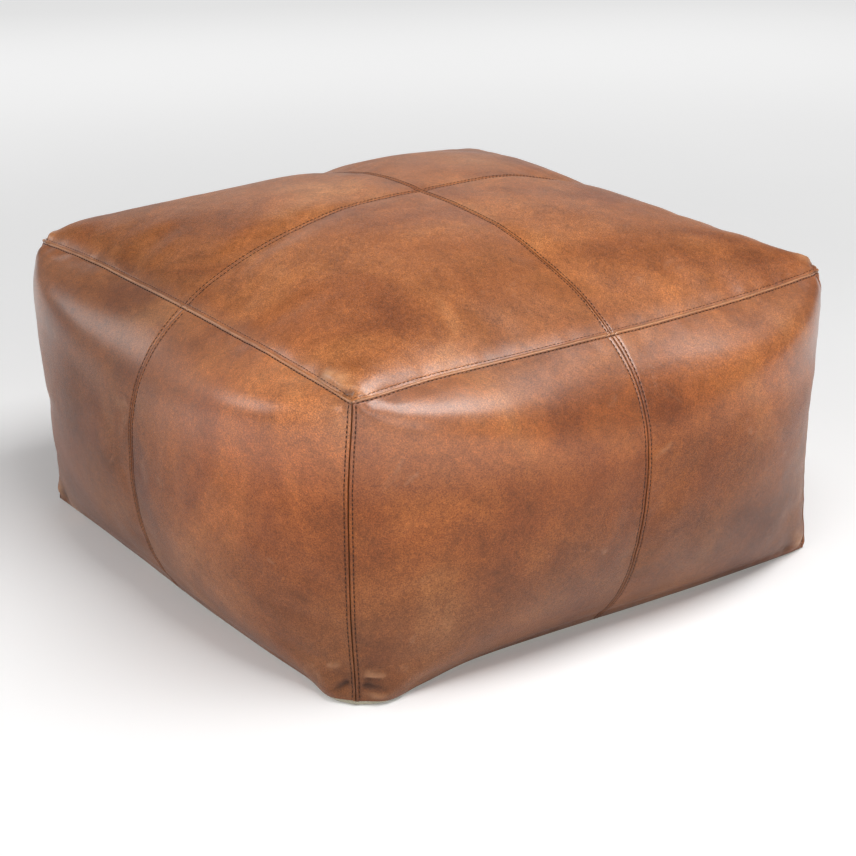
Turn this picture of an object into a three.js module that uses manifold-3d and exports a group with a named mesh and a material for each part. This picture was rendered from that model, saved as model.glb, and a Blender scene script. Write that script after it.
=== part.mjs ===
// A square leather floor pouf, in millimetres, +Z up.
//
// The origin is on the floor, under the middle of the pouf. Its four sides face -Y (front),
// +X (right), +Y (back) and -X (left). The cover is sewn from four quarter panels on the top
// and two half panels on each side, over a canvas base that a zip opens. An inner bag and its
// filling give the cover its swollen shape.
//
// Every layer comes from one function, placeOn(face, u, v, depth). It maps the surface of a
// cube, with u and v from -1 to 1 on each face, to the swollen cover, moved inwards by depth.
// Neighbouring faces meet along their common edge at every depth, so panels are mitred there.

import * as THREE from 'three';
import { mergeVertices } from 'three/addons/utils/BufferGeometryUtils.js';
import Module from 'manifold-3d';

const wasm = await Module();
wasm.setup();

// ---- Driving dimensions ----

const TOP_SEAM_SIDE = 698;        // corner to corner along the seam round the top
const BASE_SEAM_SIDE = 692;       // corner to corner along the seam round the base
const TOP_SEAM_HEIGHT = 367.5;    // the top corners above the floor
const CROWN_RISE = 72;            // the middle of the top above its corners, before the puff
const CROWN_POWER = 2.8;          // higher is flatter in the middle and steeper at the seams
const SIDE_BULGE = 65;            // how far the sides swell outwards, before the puff
const SIDE_POWER = 2.75;          // the swell along a side, from corner to corner
const UPPER_POWER = 2.8;          // the swell above half height
const LOWER_POWER = 1.95;         // the swell below half height, which tucks under more gently
const SEAM_BOW = 6;               // how far the middle of each top edge is pushed outwards
const PUFF = 7.5;                 // how far the leather stands above its seams
const PUFF_LENGTH = 17;           // the distance from a seam over which it rises

const LEATHER = 2;                // leather with its backing
const CANVAS = 1.4;
const PANEL_GAP = 0.35;           // from each panel's edge to the seam line
const ROW_OFFSET = 4.2;           // from the seam line to each row of stitches
const THREAD_RADIUS = 0.45;
const THREAD_LIFT = 0.8;          // from the leather to the thread's middle
const THREAD_TRIM = 2.2;          // a row stops this far before the row that it would cross
const THREAD_SIDES = 4;

const BAG_DEPTH = 8;              // the inner bag, below the cover's outside
const BAG_CLOTH = 1.2;
const FILLING_DEPTH = 11;

// The base is hollowed along the zip, so that the slider and its pull clear the floor.
const ZIP_LENGTH = 560;
const ARCH_HEIGHT = 6.6;
const ARCH_FLAT_HALF = 28;        // the hollow is level this far each side of the zip
const ARCH_FOOT_HALF = 75;        // and has come down to the floor here
const ARCH_END = 300;             // the hollow starts to close here, along the zip
const ARCH_CLOSED = 335;          // and is level with the floor from here to the side
const SLOT_HALF = 11;             // half of the opening between the two canvas panels
const SLOT_END_GAP = 2;           // from the zip's end to the end of that opening
const CLEARANCE = 0.3;

const COIL_INNER = 0.5;           // each coil starts this far from the zip's middle line
const COIL_OUTER = 3.4;
const COIL_THICKNESS = 2.7;
const TAPE_OUTER = 25;
const TAPE_THICKNESS = 0.8;
const STOP_LENGTH = 4;

const ZIP_ROW_OFFSET = 3.5;       // from the canvas's folded edge to the stitches that hold the tape

const SLIDER_LENGTH = 18;
const SLIDER_HALF_WIDTH = 6.2;
const SLIDER_PLATE = 1.2;
const SLIDER_FLANGE = 1.6;
const WEDGE_HALF = 0.2;
const SLIDER_END_MARGIN = 3;      // from the closed slider to the stop
const BRIDGE_HALF_LENGTH = 7;
const BRIDGE_LEG = 2;
const BRIDGE_HALF_WIDTH = 1.2;
const BRIDGE_STRAP = 1;
const PULL_BAR_RADIUS = 0.9;
const PULL_THICKNESS = 1.4;
const PULL_HALF_WIDTH = 4.4;
const PULL_EYE_HALF_WIDTH = 2.1;
const PULL_EYE_LENGTH = 9;
const PULL_LENGTH = 36;
const PULL_END_RADIUS = 3;

// ---- Heights along the zip, from the floor up ----

const canvasInside = ARCH_HEIGHT + CANVAS;
const tapeBottom = canvasInside + CLEARANCE;
const tapeTop = tapeBottom + TAPE_THICKNESS;
const coilTop = tapeBottom - CLEARANCE;
const coilBottom = coilTop - COIL_THICKNESS;
const lowerPlateTop = coilBottom - CLEARANCE;
const lowerPlateBottom = lowerPlateTop - SLIDER_PLATE;
const upperPlateBottom = tapeTop + CLEARANCE;
const upperPlateTop = upperPlateBottom + SLIDER_PLATE;
const pullAxisZ = lowerPlateBottom - CLEARANCE - PULL_BAR_RADIUS;
const bridgeTop = pullAxisZ - PULL_BAR_RADIUS - CLEARANCE;
const bridgeBottom = bridgeTop - BRIDGE_STRAP;
const sliderX = ZIP_LENGTH / 2 - STOP_LENGTH - SLIDER_END_MARGIN - SLIDER_LENGTH / 2;

// ---- The swollen shape ----

const halfTop = TOP_SEAM_SIDE / 2;
const halfBase = BASE_SEAM_SIDE / 2;
const mix = THREE.MathUtils.lerp;
const swell = (t, power) => 1 - Math.abs(t) ** power;

// The puff is zero on a face's seams and rises to PUFF over PUFF_LENGTH.
function puff(u, v, halfWidth, halfHeight) {
  const fromSeam = Math.min((1 - Math.abs(u)) * halfWidth, (1 - Math.abs(v)) * halfHeight);
  return PUFF * (1 - Math.exp(-fromSeam / PUFF_LENGTH));
}

function placeOnTop(u, v, depth) {
  const z = TOP_SEAM_HEIGHT - depth
    + CROWN_RISE * swell(u, CROWN_POWER) * swell(v, CROWN_POWER)
    + puff(u, v, halfTop, halfTop);
  return new THREE.Vector3(
    u * (halfTop - depth + SEAM_BOW * swell(v, 2)),
    v * (halfTop - depth + SEAM_BOW * swell(u, 2)),
    z,
  );
}

// A side as if it were the front one: u runs along it and v up it.
function placeOnSide(u, v, depth) {
  const rise = (v + 1) / 2;
  const half = mix(halfBase, halfTop, rise) - depth;
  const up = swell(v, v > 0 ? UPPER_POWER : LOWER_POWER);
  const out = half
    + SEAM_BOW * swell(u, 2) * rise
    + SIDE_BULGE * up * swell(u, SIDE_POWER)
    + puff(u, v, halfTop, TOP_SEAM_HEIGHT / 2);
  return new THREE.Vector3(u * half, -out, mix(depth, TOP_SEAM_HEIGHT - depth, rise));
}

// The hollow over the zip: 1 at its middle, 0 at its foot and towards the zip's ends.
function arch(x, y) {
  const across = 1 - THREE.MathUtils.smoothstep(Math.abs(y), ARCH_FLAT_HALF, ARCH_FOOT_HALF);
  const along = 1 - THREE.MathUtils.smoothstep(Math.abs(x), ARCH_END, ARCH_CLOSED);
  return across * along;
}

function placeOnBase(u, v, depth) {
  const x = u * (halfBase - depth);
  const y = v * (halfBase - depth);
  return new THREE.Vector3(x, y, depth + ARCH_HEIGHT * arch(x, y));
}

// Each side is the front one turned about Z, so u always runs anticlockwise seen from above.
const SIDE_TURNS = { front: 0, right: 90, back: 180, left: 270 };
const UP = new THREE.Vector3(0, 0, 1);

function placeOn(face, u, v, depth) {
  if (face === 'top') return placeOnTop(u, v, depth);
  if (face === 'base') return placeOnBase(u, v, depth);
  const turn = THREE.MathUtils.degToRad(SIDE_TURNS[face]);
  return placeOnSide(u, v, depth).applyAxisAngle(UP, turn);
}

// ---- Grids of u and v ----

// Lines from one seam to the next, for a stretch of length millimetres. The first and last lines
// are the panel's edges and the next ones carry the rows of stitches.
function seamToSeam(from, to, length, inner) {
  const edge = PANEL_GAP / length;
  const row = ROW_OFFSET / length;
  return [edge, row, ...inner, 1 - row, 1 - edge].map((t) => mix(from, to, t));
}

const PANEL_INNER = [0.09, 0.28, 0.52, 0.75, 0.91];
const SIDE_INNER = [0.07, 0.2, 0.37, 0.55, 0.72, 0.86, 0.945];
const halfLines = (sign) => (sign < 0
  ? seamToSeam(-1, 0, halfTop, PANEL_INNER)
  : seamToSeam(0, 1, halfTop, PANEL_INNER));
const heightLines = seamToSeam(-1, 1, TOP_SEAM_HEIGHT, SIDE_INNER);
const rowOnHalf = ROW_OFFSET / halfTop;
const rowOnHeight = 2 * ROW_OFFSET / TOP_SEAM_HEIGHT;

// ---- Layers of material over grids ----

function geometryOf(positions, triangles) {
  const geometry = new THREE.BufferGeometry();
  geometry.setAttribute('position', new THREE.Float32BufferAttribute(positions, 3));
  geometry.setIndex(triangles);
  const merged = mergeVertices(geometry, 1e-3);
  merged.computeVertexNormals();
  return merged;
}

// Every cell of a patch is a quad of [face, u, v] corners, anticlockwise seen from outside.
function patchCells(face, us, vs, keep = () => true) {
  const cells = [];
  const flipped = face === 'base';
  for (let i = 0; i < us.length - 1; i += 1) {
    for (let j = 0; j < vs.length - 1; j += 1) {
      const middle = [(us[i] + us[i + 1]) / 2, (vs[j] + vs[j + 1]) / 2];
      if (!keep(...middle)) continue;
      const corners = [[us[i], vs[j]], [us[i + 1], vs[j]], [us[i + 1], vs[j + 1]], [us[i], vs[j + 1]]];
      if (flipped) corners.reverse();
      cells.push(corners.map(([u, v]) => [face, u, v]));
    }
  }
  return cells;
}

const keyOf = (point) => point.toArray().map((value) => value.toFixed(3)).join(' ');

// A layer from one depth to another over the cells, with walls wherever the cells have an edge.
// With no inner depth it is a solid, and the cells must cover the whole cube.
function layer(cells, outerDepth, innerDepth) {
  const positions = [];
  const triangles = [];
  const addQuad = (points) => {
    const first = positions.length / 3;
    for (const point of points) positions.push(point.x, point.y, point.z);
    triangles.push(first, first + 1, first + 2, first, first + 2, first + 3);
  };
  const walls = new Map();
  for (const cell of cells) {
    const outer = cell.map(([face, u, v]) => placeOn(face, u, v, outerDepth));
    addQuad(outer);
    if (innerDepth === undefined) continue;
    const inner = cell.map(([face, u, v]) => placeOn(face, u, v, innerDepth));
    addQuad([inner[0], inner[3], inner[2], inner[1]]);
    for (let k = 0; k < 4; k += 1) {
      const next = (k + 1) % 4;
      const there = `${keyOf(outer[k])}|${keyOf(outer[next])}`;
      const back = `${keyOf(outer[next])}|${keyOf(outer[k])}`;
      if (walls.has(back)) walls.delete(back);
      else walls.set(there, [outer[next], outer[k], inner[k], inner[next]]);
    }
  }
  for (const wall of walls.values()) addQuad(wall);
  return geometryOf(positions, triangles);
}

// ---- Rows of thread ----

// A path through given points, with one step between each two of them.
class PointPath extends THREE.Curve {
  constructor(points) {
    super();
    this.points = points;
  }

  getPoint(t) {
    const place = THREE.MathUtils.clamp(t, 0, 1) * (this.points.length - 1);
    const before = Math.min(Math.floor(place), this.points.length - 2);
    return this.points[before].clone().lerp(this.points[before + 1], place - before);
  }

  getPointAt(t) {
    return this.getPoint(t);
  }

  getTangentAt(t) {
    return this.getTangent(t);
  }
}

function trimmed(points) {
  const ends = [[0, 1], [points.length - 1, points.length - 2]];
  const result = points.map((point) => point.clone());
  for (const [end, inner] of ends) {
    const span = points[end].distanceTo(points[inner]);
    result[end].lerp(points[inner], THREAD_TRIM / span);
  }
  return result;
}

function threadGeometry(face, places) {
  const points = trimmed(places.map(([u, v]) => placeOn(face, u, v, -THREAD_LIFT)));
  const section = new THREE.Shape();
  for (let k = 0; k < THREAD_SIDES; k += 1) {
    const angle = 2 * Math.PI * k / THREAD_SIDES;
    const corner = [THREAD_RADIUS * Math.cos(angle), THREAD_RADIUS * Math.sin(angle)];
    if (k === 0) section.moveTo(...corner);
    else section.lineTo(...corner);
  }
  section.closePath();
  const tube = new THREE.ExtrudeGeometry(section, {
    extrudePath: new PointPath(points),
    steps: points.length - 1,
    bevelEnabled: false,
  });
  return bare(tube);
}

// ---- Solids for the zip ----

// A geometry with positions only and its shared vertices merged.
function bare(geometry) {
  geometry.deleteAttribute('normal');
  geometry.deleteAttribute('uv');
  const merged = mergeVertices(geometry, 1e-3);
  merged.computeVertexNormals();
  return merged;
}

function solidOf(geometry) {
  const merged = bare(geometry);
  return new wasm.Manifold(new wasm.Mesh({
    numProp: 3,
    vertProperties: new Float32Array(merged.attributes.position.array),
    triVerts: new Uint32Array(merged.index.array),
  }));
}

function geometryFrom(solid) {
  const mesh = solid.getMesh();
  return geometryOf(Array.from(mesh.vertProperties), Array.from(mesh.triVerts));
}

const ordered = (a, b) => [Math.min(a, b), Math.max(a, b)];

// A box from its lowest to its highest corner.
function boxBetween(low, high) {
  const size = high.map((value, axis) => value - low[axis]);
  const middle = high.map((value, axis) => (value + low[axis]) / 2);
  return new THREE.BoxGeometry(...size).translate(...middle);
}

function sliderGeometry() {
  const half = SLIDER_LENGTH / 2;
  const flangeInside = SLIDER_HALF_WIDTH - SLIDER_FLANGE;
  const pieces = [
    boxBetween([-half, -SLIDER_HALF_WIDTH, lowerPlateBottom], [half, SLIDER_HALF_WIDTH, lowerPlateTop]),
    boxBetween([-half, -SLIDER_HALF_WIDTH, upperPlateBottom], [half, SLIDER_HALF_WIDTH, upperPlateTop]),
    boxBetween([-half, -WEDGE_HALF, lowerPlateBottom], [half, WEDGE_HALF, upperPlateTop]),
    boxBetween([-BRIDGE_HALF_LENGTH, -BRIDGE_HALF_WIDTH, bridgeBottom],
      [BRIDGE_HALF_LENGTH, BRIDGE_HALF_WIDTH, bridgeTop]),
  ];
  for (const side of [-1, 1]) {
    const flange = ordered(side * flangeInside, side * SLIDER_HALF_WIDTH);
    pieces.push(boxBetween([-half, flange[0], lowerPlateBottom], [half, flange[1], coilTop]));
    const leg = ordered(side * (BRIDGE_HALF_LENGTH - BRIDGE_LEG), side * BRIDGE_HALF_LENGTH);
    pieces.push(boxBetween([leg[0], -BRIDGE_HALF_WIDTH, bridgeBottom],
      [leg[1], BRIDGE_HALF_WIDTH, lowerPlateTop]));
  }
  const joined = pieces.map(solidOf).reduce((whole, piece) => whole.add(piece));
  return geometryFrom(joined);
}

// The pull lies along -X from its bar, which passes through the slider's bridge.
function pullGeometry() {
  const outline = new THREE.Shape();
  outline.moveTo(PULL_BAR_RADIUS, -PULL_HALF_WIDTH);
  outline.lineTo(PULL_BAR_RADIUS, PULL_HALF_WIDTH);
  outline.lineTo(-PULL_LENGTH + PULL_END_RADIUS, PULL_HALF_WIDTH);
  outline.absarc(-PULL_LENGTH + PULL_END_RADIUS, PULL_HALF_WIDTH - PULL_END_RADIUS,
    PULL_END_RADIUS, Math.PI / 2, Math.PI, false);
  outline.absarc(-PULL_LENGTH + PULL_END_RADIUS, PULL_END_RADIUS - PULL_HALF_WIDTH,
    PULL_END_RADIUS, Math.PI, 3 * Math.PI / 2, false);
  outline.closePath();
  const eye = new THREE.Path();
  eye.moveTo(-PULL_BAR_RADIUS, -PULL_EYE_HALF_WIDTH);
  eye.lineTo(-PULL_EYE_LENGTH, -PULL_EYE_HALF_WIDTH);
  eye.lineTo(-PULL_EYE_LENGTH, PULL_EYE_HALF_WIDTH);
  eye.lineTo(-PULL_BAR_RADIUS, PULL_EYE_HALF_WIDTH);
  eye.closePath();
  outline.holes.push(eye);
  const tab = new THREE.ExtrudeGeometry(outline, {
    depth: PULL_THICKNESS,
    bevelEnabled: false,
    curveSegments: 4,
  });
  return bare(tab.translate(0, 0, pullAxisZ - PULL_THICKNESS / 2));
}

// ---- Materials ----

const FINISHES = {
  leather: { color: 0x9a5b34, roughness: 0.42, metalness: 0 },
  thread: { color: 0x3d2417, roughness: 0.75, metalness: 0 },
  canvas: { color: 0x8f8a78, roughness: 0.95, metalness: 0 },
  tape: { color: 0x4a3527, roughness: 0.9, metalness: 0 },
  coil: { color: 0x3a2a20, roughness: 0.5, metalness: 0 },
  metal: { color: 0x9c8452, roughness: 0.35, metalness: 1 },
  bag: { color: 0xd9d2c2, roughness: 0.95, metalness: 0 },
  filling: { color: 0xe9e6df, roughness: 1, metalness: 0 },
};

const pouf = new THREE.Group();
pouf.name = 'leather_pouf';

function addPiece(name, geometry, finish, parent = pouf) {
  const mesh = new THREE.Mesh(geometry, new THREE.MeshStandardMaterial(FINISHES[finish]));
  mesh.name = name;
  parent.add(mesh);
}

// ---- The leather cover ----

for (const [depthName, v] of [['front', -1], ['back', 1]]) {
  for (const [widthName, u] of [['left', -1], ['right', 1]]) {
    const cells = patchCells('top', halfLines(u), halfLines(v));
    addPiece(`top_panel_${depthName}_${widthName}`, layer(cells, 0, LEATHER), 'leather');
  }
}

// u runs anticlockwise round the pouf, so the two halves of each side are named from that.
const SIDE_HALVES = {
  front: ['left', 'right'],
  right: ['front', 'back'],
  back: ['right', 'left'],
  left: ['back', 'front'],
};

for (const [side, [first, second]] of Object.entries(SIDE_HALVES)) {
  for (const [halfName, sign] of [[first, -1], [second, 1]]) {
    const cells = patchCells(side, halfLines(sign), heightLines);
    addPiece(`${side}_panel_${halfName}`, layer(cells, 0, LEATHER), 'leather');
  }
}

// ---- The canvas base ----

const slotEnd = (ZIP_LENGTH / 2 + SLOT_END_GAP) / halfBase;
const slotSide = SLOT_HALF / halfBase;
const archMiddles = [0.3, 0.65].map((t) => mix(ARCH_FLAT_HALF, ARCH_FOOT_HALF, t));
const rowsFromZip = [PANEL_GAP, SLOT_HALF, ARCH_FLAT_HALF, ...archMiddles, ARCH_FOOT_HALF, halfBase - PANEL_GAP];
const columnsFromMiddle = [
  slotEnd / 3,
  2 * slotEnd / 3,
  slotEnd,
  ARCH_END / halfBase,
  ARCH_CLOSED / halfBase,
  1 - PANEL_GAP / halfBase,
];
const alongBase = [...columnsFromMiddle.map((u) => -u).reverse(), 0, ...columnsFromMiddle];
const besideSlot = (u, v) => Math.abs(v) > slotSide || Math.abs(u) > slotEnd;

for (const [name, sign] of [['front', -1], ['back', 1]]) {
  const lines = rowsFromZip.map((y) => sign * y / halfBase).sort((a, b) => a - b);
  const cells = patchCells('base', alongBase, lines, besideSlot);
  addPiece(`base_panel_${name}`, layer(cells, 0, CANVAS), 'canvas');
}

// ---- The zip ----

const tapeHalf = ZIP_LENGTH / 2;
const stopInner = tapeHalf - STOP_LENGTH;
const coilHalf = stopInner - CLEARANCE;

for (const [name, sign] of [['front', -1], ['back', 1]]) {
  const tapeSpan = ordered(sign * COIL_INNER, sign * TAPE_OUTER);
  const coilSpan = ordered(sign * COIL_INNER, sign * COIL_OUTER);
  const tape = boxBetween([-tapeHalf, tapeSpan[0], tapeBottom], [tapeHalf, tapeSpan[1], tapeTop]);
  const coil = boxBetween([-coilHalf, coilSpan[0], coilBottom], [coilHalf, coilSpan[1], coilTop]);
  addPiece(`zip_tape_${name}`, bare(tape), 'tape');
  addPiece(`zip_coil_${name}`, bare(coil), 'coil');
}

for (const [name, sign] of [['left', -1], ['right', 1]]) {
  const ends = ordered(sign * stopInner, sign * tapeHalf);
  const stop = boxBetween([ends[0], -COIL_OUTER, coilBottom], [ends[1], COIL_OUTER, coilTop]);
  addPiece(`zip_stop_${name}`, bare(stop), 'metal');
}

const slider = new THREE.Group();
slider.position.x = sliderX;
pouf.add(slider);
addPiece('zip_slider', sliderGeometry(), 'metal', slider);
addPiece('zip_pull', pullGeometry(), 'metal', slider);

// ---- The inner bag and its filling ----

// Every face uses the same lines, so faces share their corners where they meet.
const MOUTH_HALF_LENGTH = 0.4;
const MOUTH_HALF_WIDTH = 0.08;
const HALF_OF_WHOLE = [MOUTH_HALF_WIDTH, MOUTH_HALF_LENGTH, 0.75, 0.92, 1];
const WHOLE_LINES = [...HALF_OF_WHOLE.map((t) => -t).reverse(), ...HALF_OF_WHOLE];

function wholeCells(mouth) {
  const cells = [];
  for (const face of ['top', ...Object.keys(SIDE_TURNS)]) {
    cells.push(...patchCells(face, WHOLE_LINES, WHOLE_LINES));
  }
  const closed = (u, v) => Math.abs(u) > MOUTH_HALF_LENGTH || Math.abs(v) > MOUTH_HALF_WIDTH;
  cells.push(...patchCells('base', WHOLE_LINES, WHOLE_LINES, mouth ? closed : undefined));
  return cells;
}

addPiece('inner_bag', layer(wholeCells(true), BAG_DEPTH, BAG_DEPTH + BAG_CLOTH), 'bag');
addPiece('filling', layer(wholeCells(false), FILLING_DEPTH), 'filling');

// ---- The rows of stitches ----

function addThread(name, face, places) {
  addPiece(name, threadGeometry(face, places), 'thread');
}

const alongWhole = [...halfLines(-1).slice(1, -1), 0, ...halfLines(1).slice(1, -1)];
const alongHeight = heightLines.slice(1, -1);

// One seam runs from front to back without a break, and the other meets it from each side.
for (const [name, sign] of [['left', -1], ['right', 1]]) {
  addThread(`top_long_seam_thread_${name}`, 'top', alongWhole.map((v) => [sign * rowOnHalf, v]));
  for (const [rowName, rowSign] of [['front', -1], ['back', 1]]) {
    const places = halfLines(sign).slice(1, -1).map((u) => [u, rowSign * rowOnHalf]);
    addThread(`top_cross_seam_thread_${name}_${rowName}`, 'top', places);
  }
}

// Round the top, one row is on the top panels and one on the side panels.
const TOP_EDGES = {
  front: (t) => [t, -1 + rowOnHalf],
  right: (t) => [1 - rowOnHalf, t],
  back: (t) => [t, 1 - rowOnHalf],
  left: (t) => [-1 + rowOnHalf, t],
};

for (const [side, place] of Object.entries(TOP_EDGES)) {
  addThread(`top_edge_thread_${side}_upper`, 'top', alongWhole.map(place));
  addThread(`top_edge_thread_${side}_lower`, side, alongWhole.map((u) => [u, 1 - rowOnHeight]));
}

// Down each side: two rows at the middle seam and one inside each corner seam.
for (const side of Object.keys(SIDE_TURNS)) {
  const rows = {
    [`${side}_seam_thread_first`]: -rowOnHalf,
    [`${side}_seam_thread_second`]: rowOnHalf,
    [`${side}_corner_thread_first`]: -1 + rowOnHalf,
    [`${side}_corner_thread_second`]: 1 - rowOnHalf,
  };
  for (const [name, u] of Object.entries(rows)) addThread(name, side, alongHeight.map((v) => [u, v]));
}

// Along the zip, a row holds each tape to its canvas panel.
const alongZip = alongBase.filter((u) => Math.abs(u) <= slotEnd);

for (const [name, sign] of [['front', -1], ['back', 1]]) {
  const v = sign * (SLOT_HALF + ZIP_ROW_OFFSET) / halfBase;
  addThread(`zip_seam_thread_${name}`, 'base', alongZip.map((u) => [u, v]));
}

export default pouf;
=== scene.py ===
"""A square leather floor pouf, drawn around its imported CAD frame.

Units are metres. The cover is the surface of a cube, with u and v from -1 to 1 on each face, swollen
to the pouf's shape. cover_points() gives any point of the leather, with its seams, puckers and folds,
so the panels, the stitches and the base all come from it and meet where they should.
"""

import math

import bpy
import numpy as np
from mathutils import Matrix, Vector


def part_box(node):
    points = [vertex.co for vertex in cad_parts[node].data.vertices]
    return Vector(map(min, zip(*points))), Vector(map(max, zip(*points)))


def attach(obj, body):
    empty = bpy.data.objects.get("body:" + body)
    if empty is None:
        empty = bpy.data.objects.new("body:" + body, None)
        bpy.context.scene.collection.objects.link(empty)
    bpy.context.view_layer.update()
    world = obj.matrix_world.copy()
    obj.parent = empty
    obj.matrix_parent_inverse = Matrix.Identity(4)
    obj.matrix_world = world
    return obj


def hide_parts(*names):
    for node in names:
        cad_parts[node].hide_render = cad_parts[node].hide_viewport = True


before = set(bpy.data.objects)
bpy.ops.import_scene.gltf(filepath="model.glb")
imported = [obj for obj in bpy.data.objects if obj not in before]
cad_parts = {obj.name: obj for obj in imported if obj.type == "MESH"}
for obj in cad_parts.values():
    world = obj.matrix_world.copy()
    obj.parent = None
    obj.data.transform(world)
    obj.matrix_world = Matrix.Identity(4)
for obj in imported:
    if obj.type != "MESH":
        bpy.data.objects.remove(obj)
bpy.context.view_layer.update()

MM = 0.001

# ---- Driving sizes, read from the frame ----

PANEL_GAP = 0.35 * MM
CANVAS = 1.4 * MM
LEATHER = 1.4 * MM
TOP_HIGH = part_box("top_panel_front_left")[1]
SIDE_LOW, SIDE_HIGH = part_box("front_panel_left")
BASE_LOW, BASE_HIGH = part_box("base_panel_front")
HALF_TOP = -SIDE_LOW.x + PANEL_GAP
HALF_BASE = -BASE_LOW.x + PANEL_GAP
SEAM_HEIGHT = SIDE_HIGH.z
CROWN_RISE = TOP_HIGH.z - SEAM_HEIGHT - 6.5 * MM

# ---- The swollen shape ----

CROWN_POWER = 2.53
PUFF_TOP = 12.0 * MM             # how far a panel stands above its seams
PUFF_SIDE = 11.5 * MM
PUFF_LENGTH = 28.0 * MM          # the distance from a seam over which it rises
PUFF_AT_MIDDLE_SEAM = 0.80       # the share of the puff that is left on a middle seam
CORNER_LIFT = 43.0 * MM          # the top is fuller near its corners
CORNER_POWER = 3
CORNER_EDGE_POWER = 14
SIDE_POWER_TOP = 4.6
SIDE_POWER_BASE = 1.25
UPPER_POWER = 2.9
UPPER_POWER_CORNER = 16.0
LOWER_POWER = 1.76
LOWER_POWER_CORNER = 7.0
BASE_LIFT = 4.0 * MM             # the base's edges rise off the floor between the corners
BASE_LIFT_POWER = 14

SIDES = ("front", "right", "back", "left")
ALL_FACES = ("top", "base") + SIDES
SEAM_BOW = {"front": 14.0 * MM, "right": 4.0 * MM, "back": -19.0 * MM, "left": -10.0 * MM}
BASE_TUCK = {"front": -6.5 * MM, "right": 2.0 * MM, "back": 4.0 * MM, "left": -11.0 * MM}
BASE_SKEW = {"front": -16.5 * MM, "right": 4.0 * MM, "back": 0.0, "left": -8.5 * MM}
SWELL = {"front": 70.5 * MM, "right": 66.0 * MM, "back": 67.0 * MM, "left": 67.5 * MM}

# The hollow of the base along the zip, as in the CAD.
ARCH_HEIGHT = BASE_HIGH.z - CANVAS
ARCH_FLAT_HALF = 28.0 * MM
ARCH_FOOT_HALF = 75.0 * MM
ARCH_END = 300.0 * MM
ARCH_CLOSED = 335.0 * MM

# ---- Seams ----

ROW_OFFSET = 4.2 * MM            # from a seam to each row of stitches beside it
MIDDLE_TOP_OFFSET = 3.5 * MM     # the rows on the top's middle seams lie closer
CORNER_OFFSET = 4.7 * MM
RIDGE_OFFSET = 2.7 * MM          # the dark row just under the top edge's ridge
ROW_FLARE = 2.0 * MM             # the rows down the sides' middles spread towards the top edge
ROW_FLARE_REACH = 30.0 * MM
SEAM_TURN = 5.0 * MM             # the leather turns over an edge within this distance
# Height above the leather in mm, at distances from the seam as shares of the row's offset.
PROFILE_AT = (0.0, 0.05, 0.1, 0.17, 0.26, 0.36, 0.48, 0.62, 0.76, 0.88, 1.0, 1.12, 1.26, 1.6, 2.2)
MIDDLE_PROFILE = (-1.3, -1.0, -0.5, -0.1, 0.2, 0.4, 0.5, 0.4, 0.1, -0.3, -0.7, -0.3, 0.0, 0.1, 0.0)
TOP_MIDDLE_PROFILE = (-0.9, -0.7, -0.4, -0.1, 0.1, 0.2, 0.25, 0.2, 0.05, -0.2, -0.4, -0.2, 0.0, 0.05, 0.0)
CORNER_PROFILE = (-1.5, -1.1, -0.5, 0.0, 0.3, 0.5, 0.6, 0.5, 0.1, -0.4, -0.8, -0.4, 0.0, 0.1, 0.0)
LOWER_RIDGE_PROFILE = (1.0, 1.0, 1.0, 1.0, 0.95, 0.9, 0.7, 0.4, -0.1, -0.9, -1.5, -1.0, -0.4, 0.1, 0.0)
UPPER_RIDGE_PROFILE = (1.0, 0.95, 0.85, 0.65, 0.35, 0.15, 0.05, 0.0, 0.0, -0.05, -0.2, -0.05, 0.0, 0.0, 0.0)
BASE_PROFILE = (-2.4, -1.8, -1.1, -0.5, -0.2, 0.0, 0.1, 0.1, 0.05, 0.0, 0.0, 0.0, 0.0, 0.0, 0.0)


def near_power(t, power):
    return 1 - np.abs(t) ** power


def smoothstep(t):
    t = np.clip(t, 0, 1)
    return t * t * (3 - 2 * t)


def unit(vectors):
    return vectors / np.maximum(np.linalg.norm(vectors, axis=-1, keepdims=True), 1e-12)


def puff(amount, u, v, height, middle_across):
    """How far a panel stands above the seams round it."""
    def away(distance, share):
        return 1 - share * np.exp(-distance / PUFF_LENGTH)
    kept = 1 - PUFF_AT_MIDDLE_SEAM
    rise = away((1 - np.abs(u)) * HALF_TOP, 1) * away((1 - np.abs(v)) * height, 1)
    rise = rise * away(np.abs(u) * HALF_TOP, kept)
    if middle_across:
        rise = rise * away(np.abs(v) * height, kept)
    return amount * rise


def either_side(table, t, low, high):
    return np.where(t < 0, table[low], table[high])


def base_tuck(side, t):
    """How far a base edge lies inside the line between its corners."""
    return (BASE_TUCK[side] + BASE_SKEW[side] * t) * near_power(t, 2)


def top_shape(u, v):
    bow_x = either_side(SEAM_BOW, u, "left", "right") * near_power(v, 2)
    bow_y = either_side(SEAM_BOW, v, "front", "back") * near_power(u, 2)
    crown = CROWN_RISE * near_power(u, CROWN_POWER) * near_power(v, CROWN_POWER)
    corner = CORNER_LIFT * np.abs(u * v) ** CORNER_POWER
    corner = corner * near_power(u, CORNER_EDGE_POWER) * near_power(v, CORNER_EDGE_POWER)
    z = SEAM_HEIGHT + crown + corner + puff(PUFF_TOP, u, v, HALF_TOP, True)
    return np.stack([u * (HALF_TOP + bow_x), v * (HALF_TOP + bow_y), z], -1)


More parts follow.
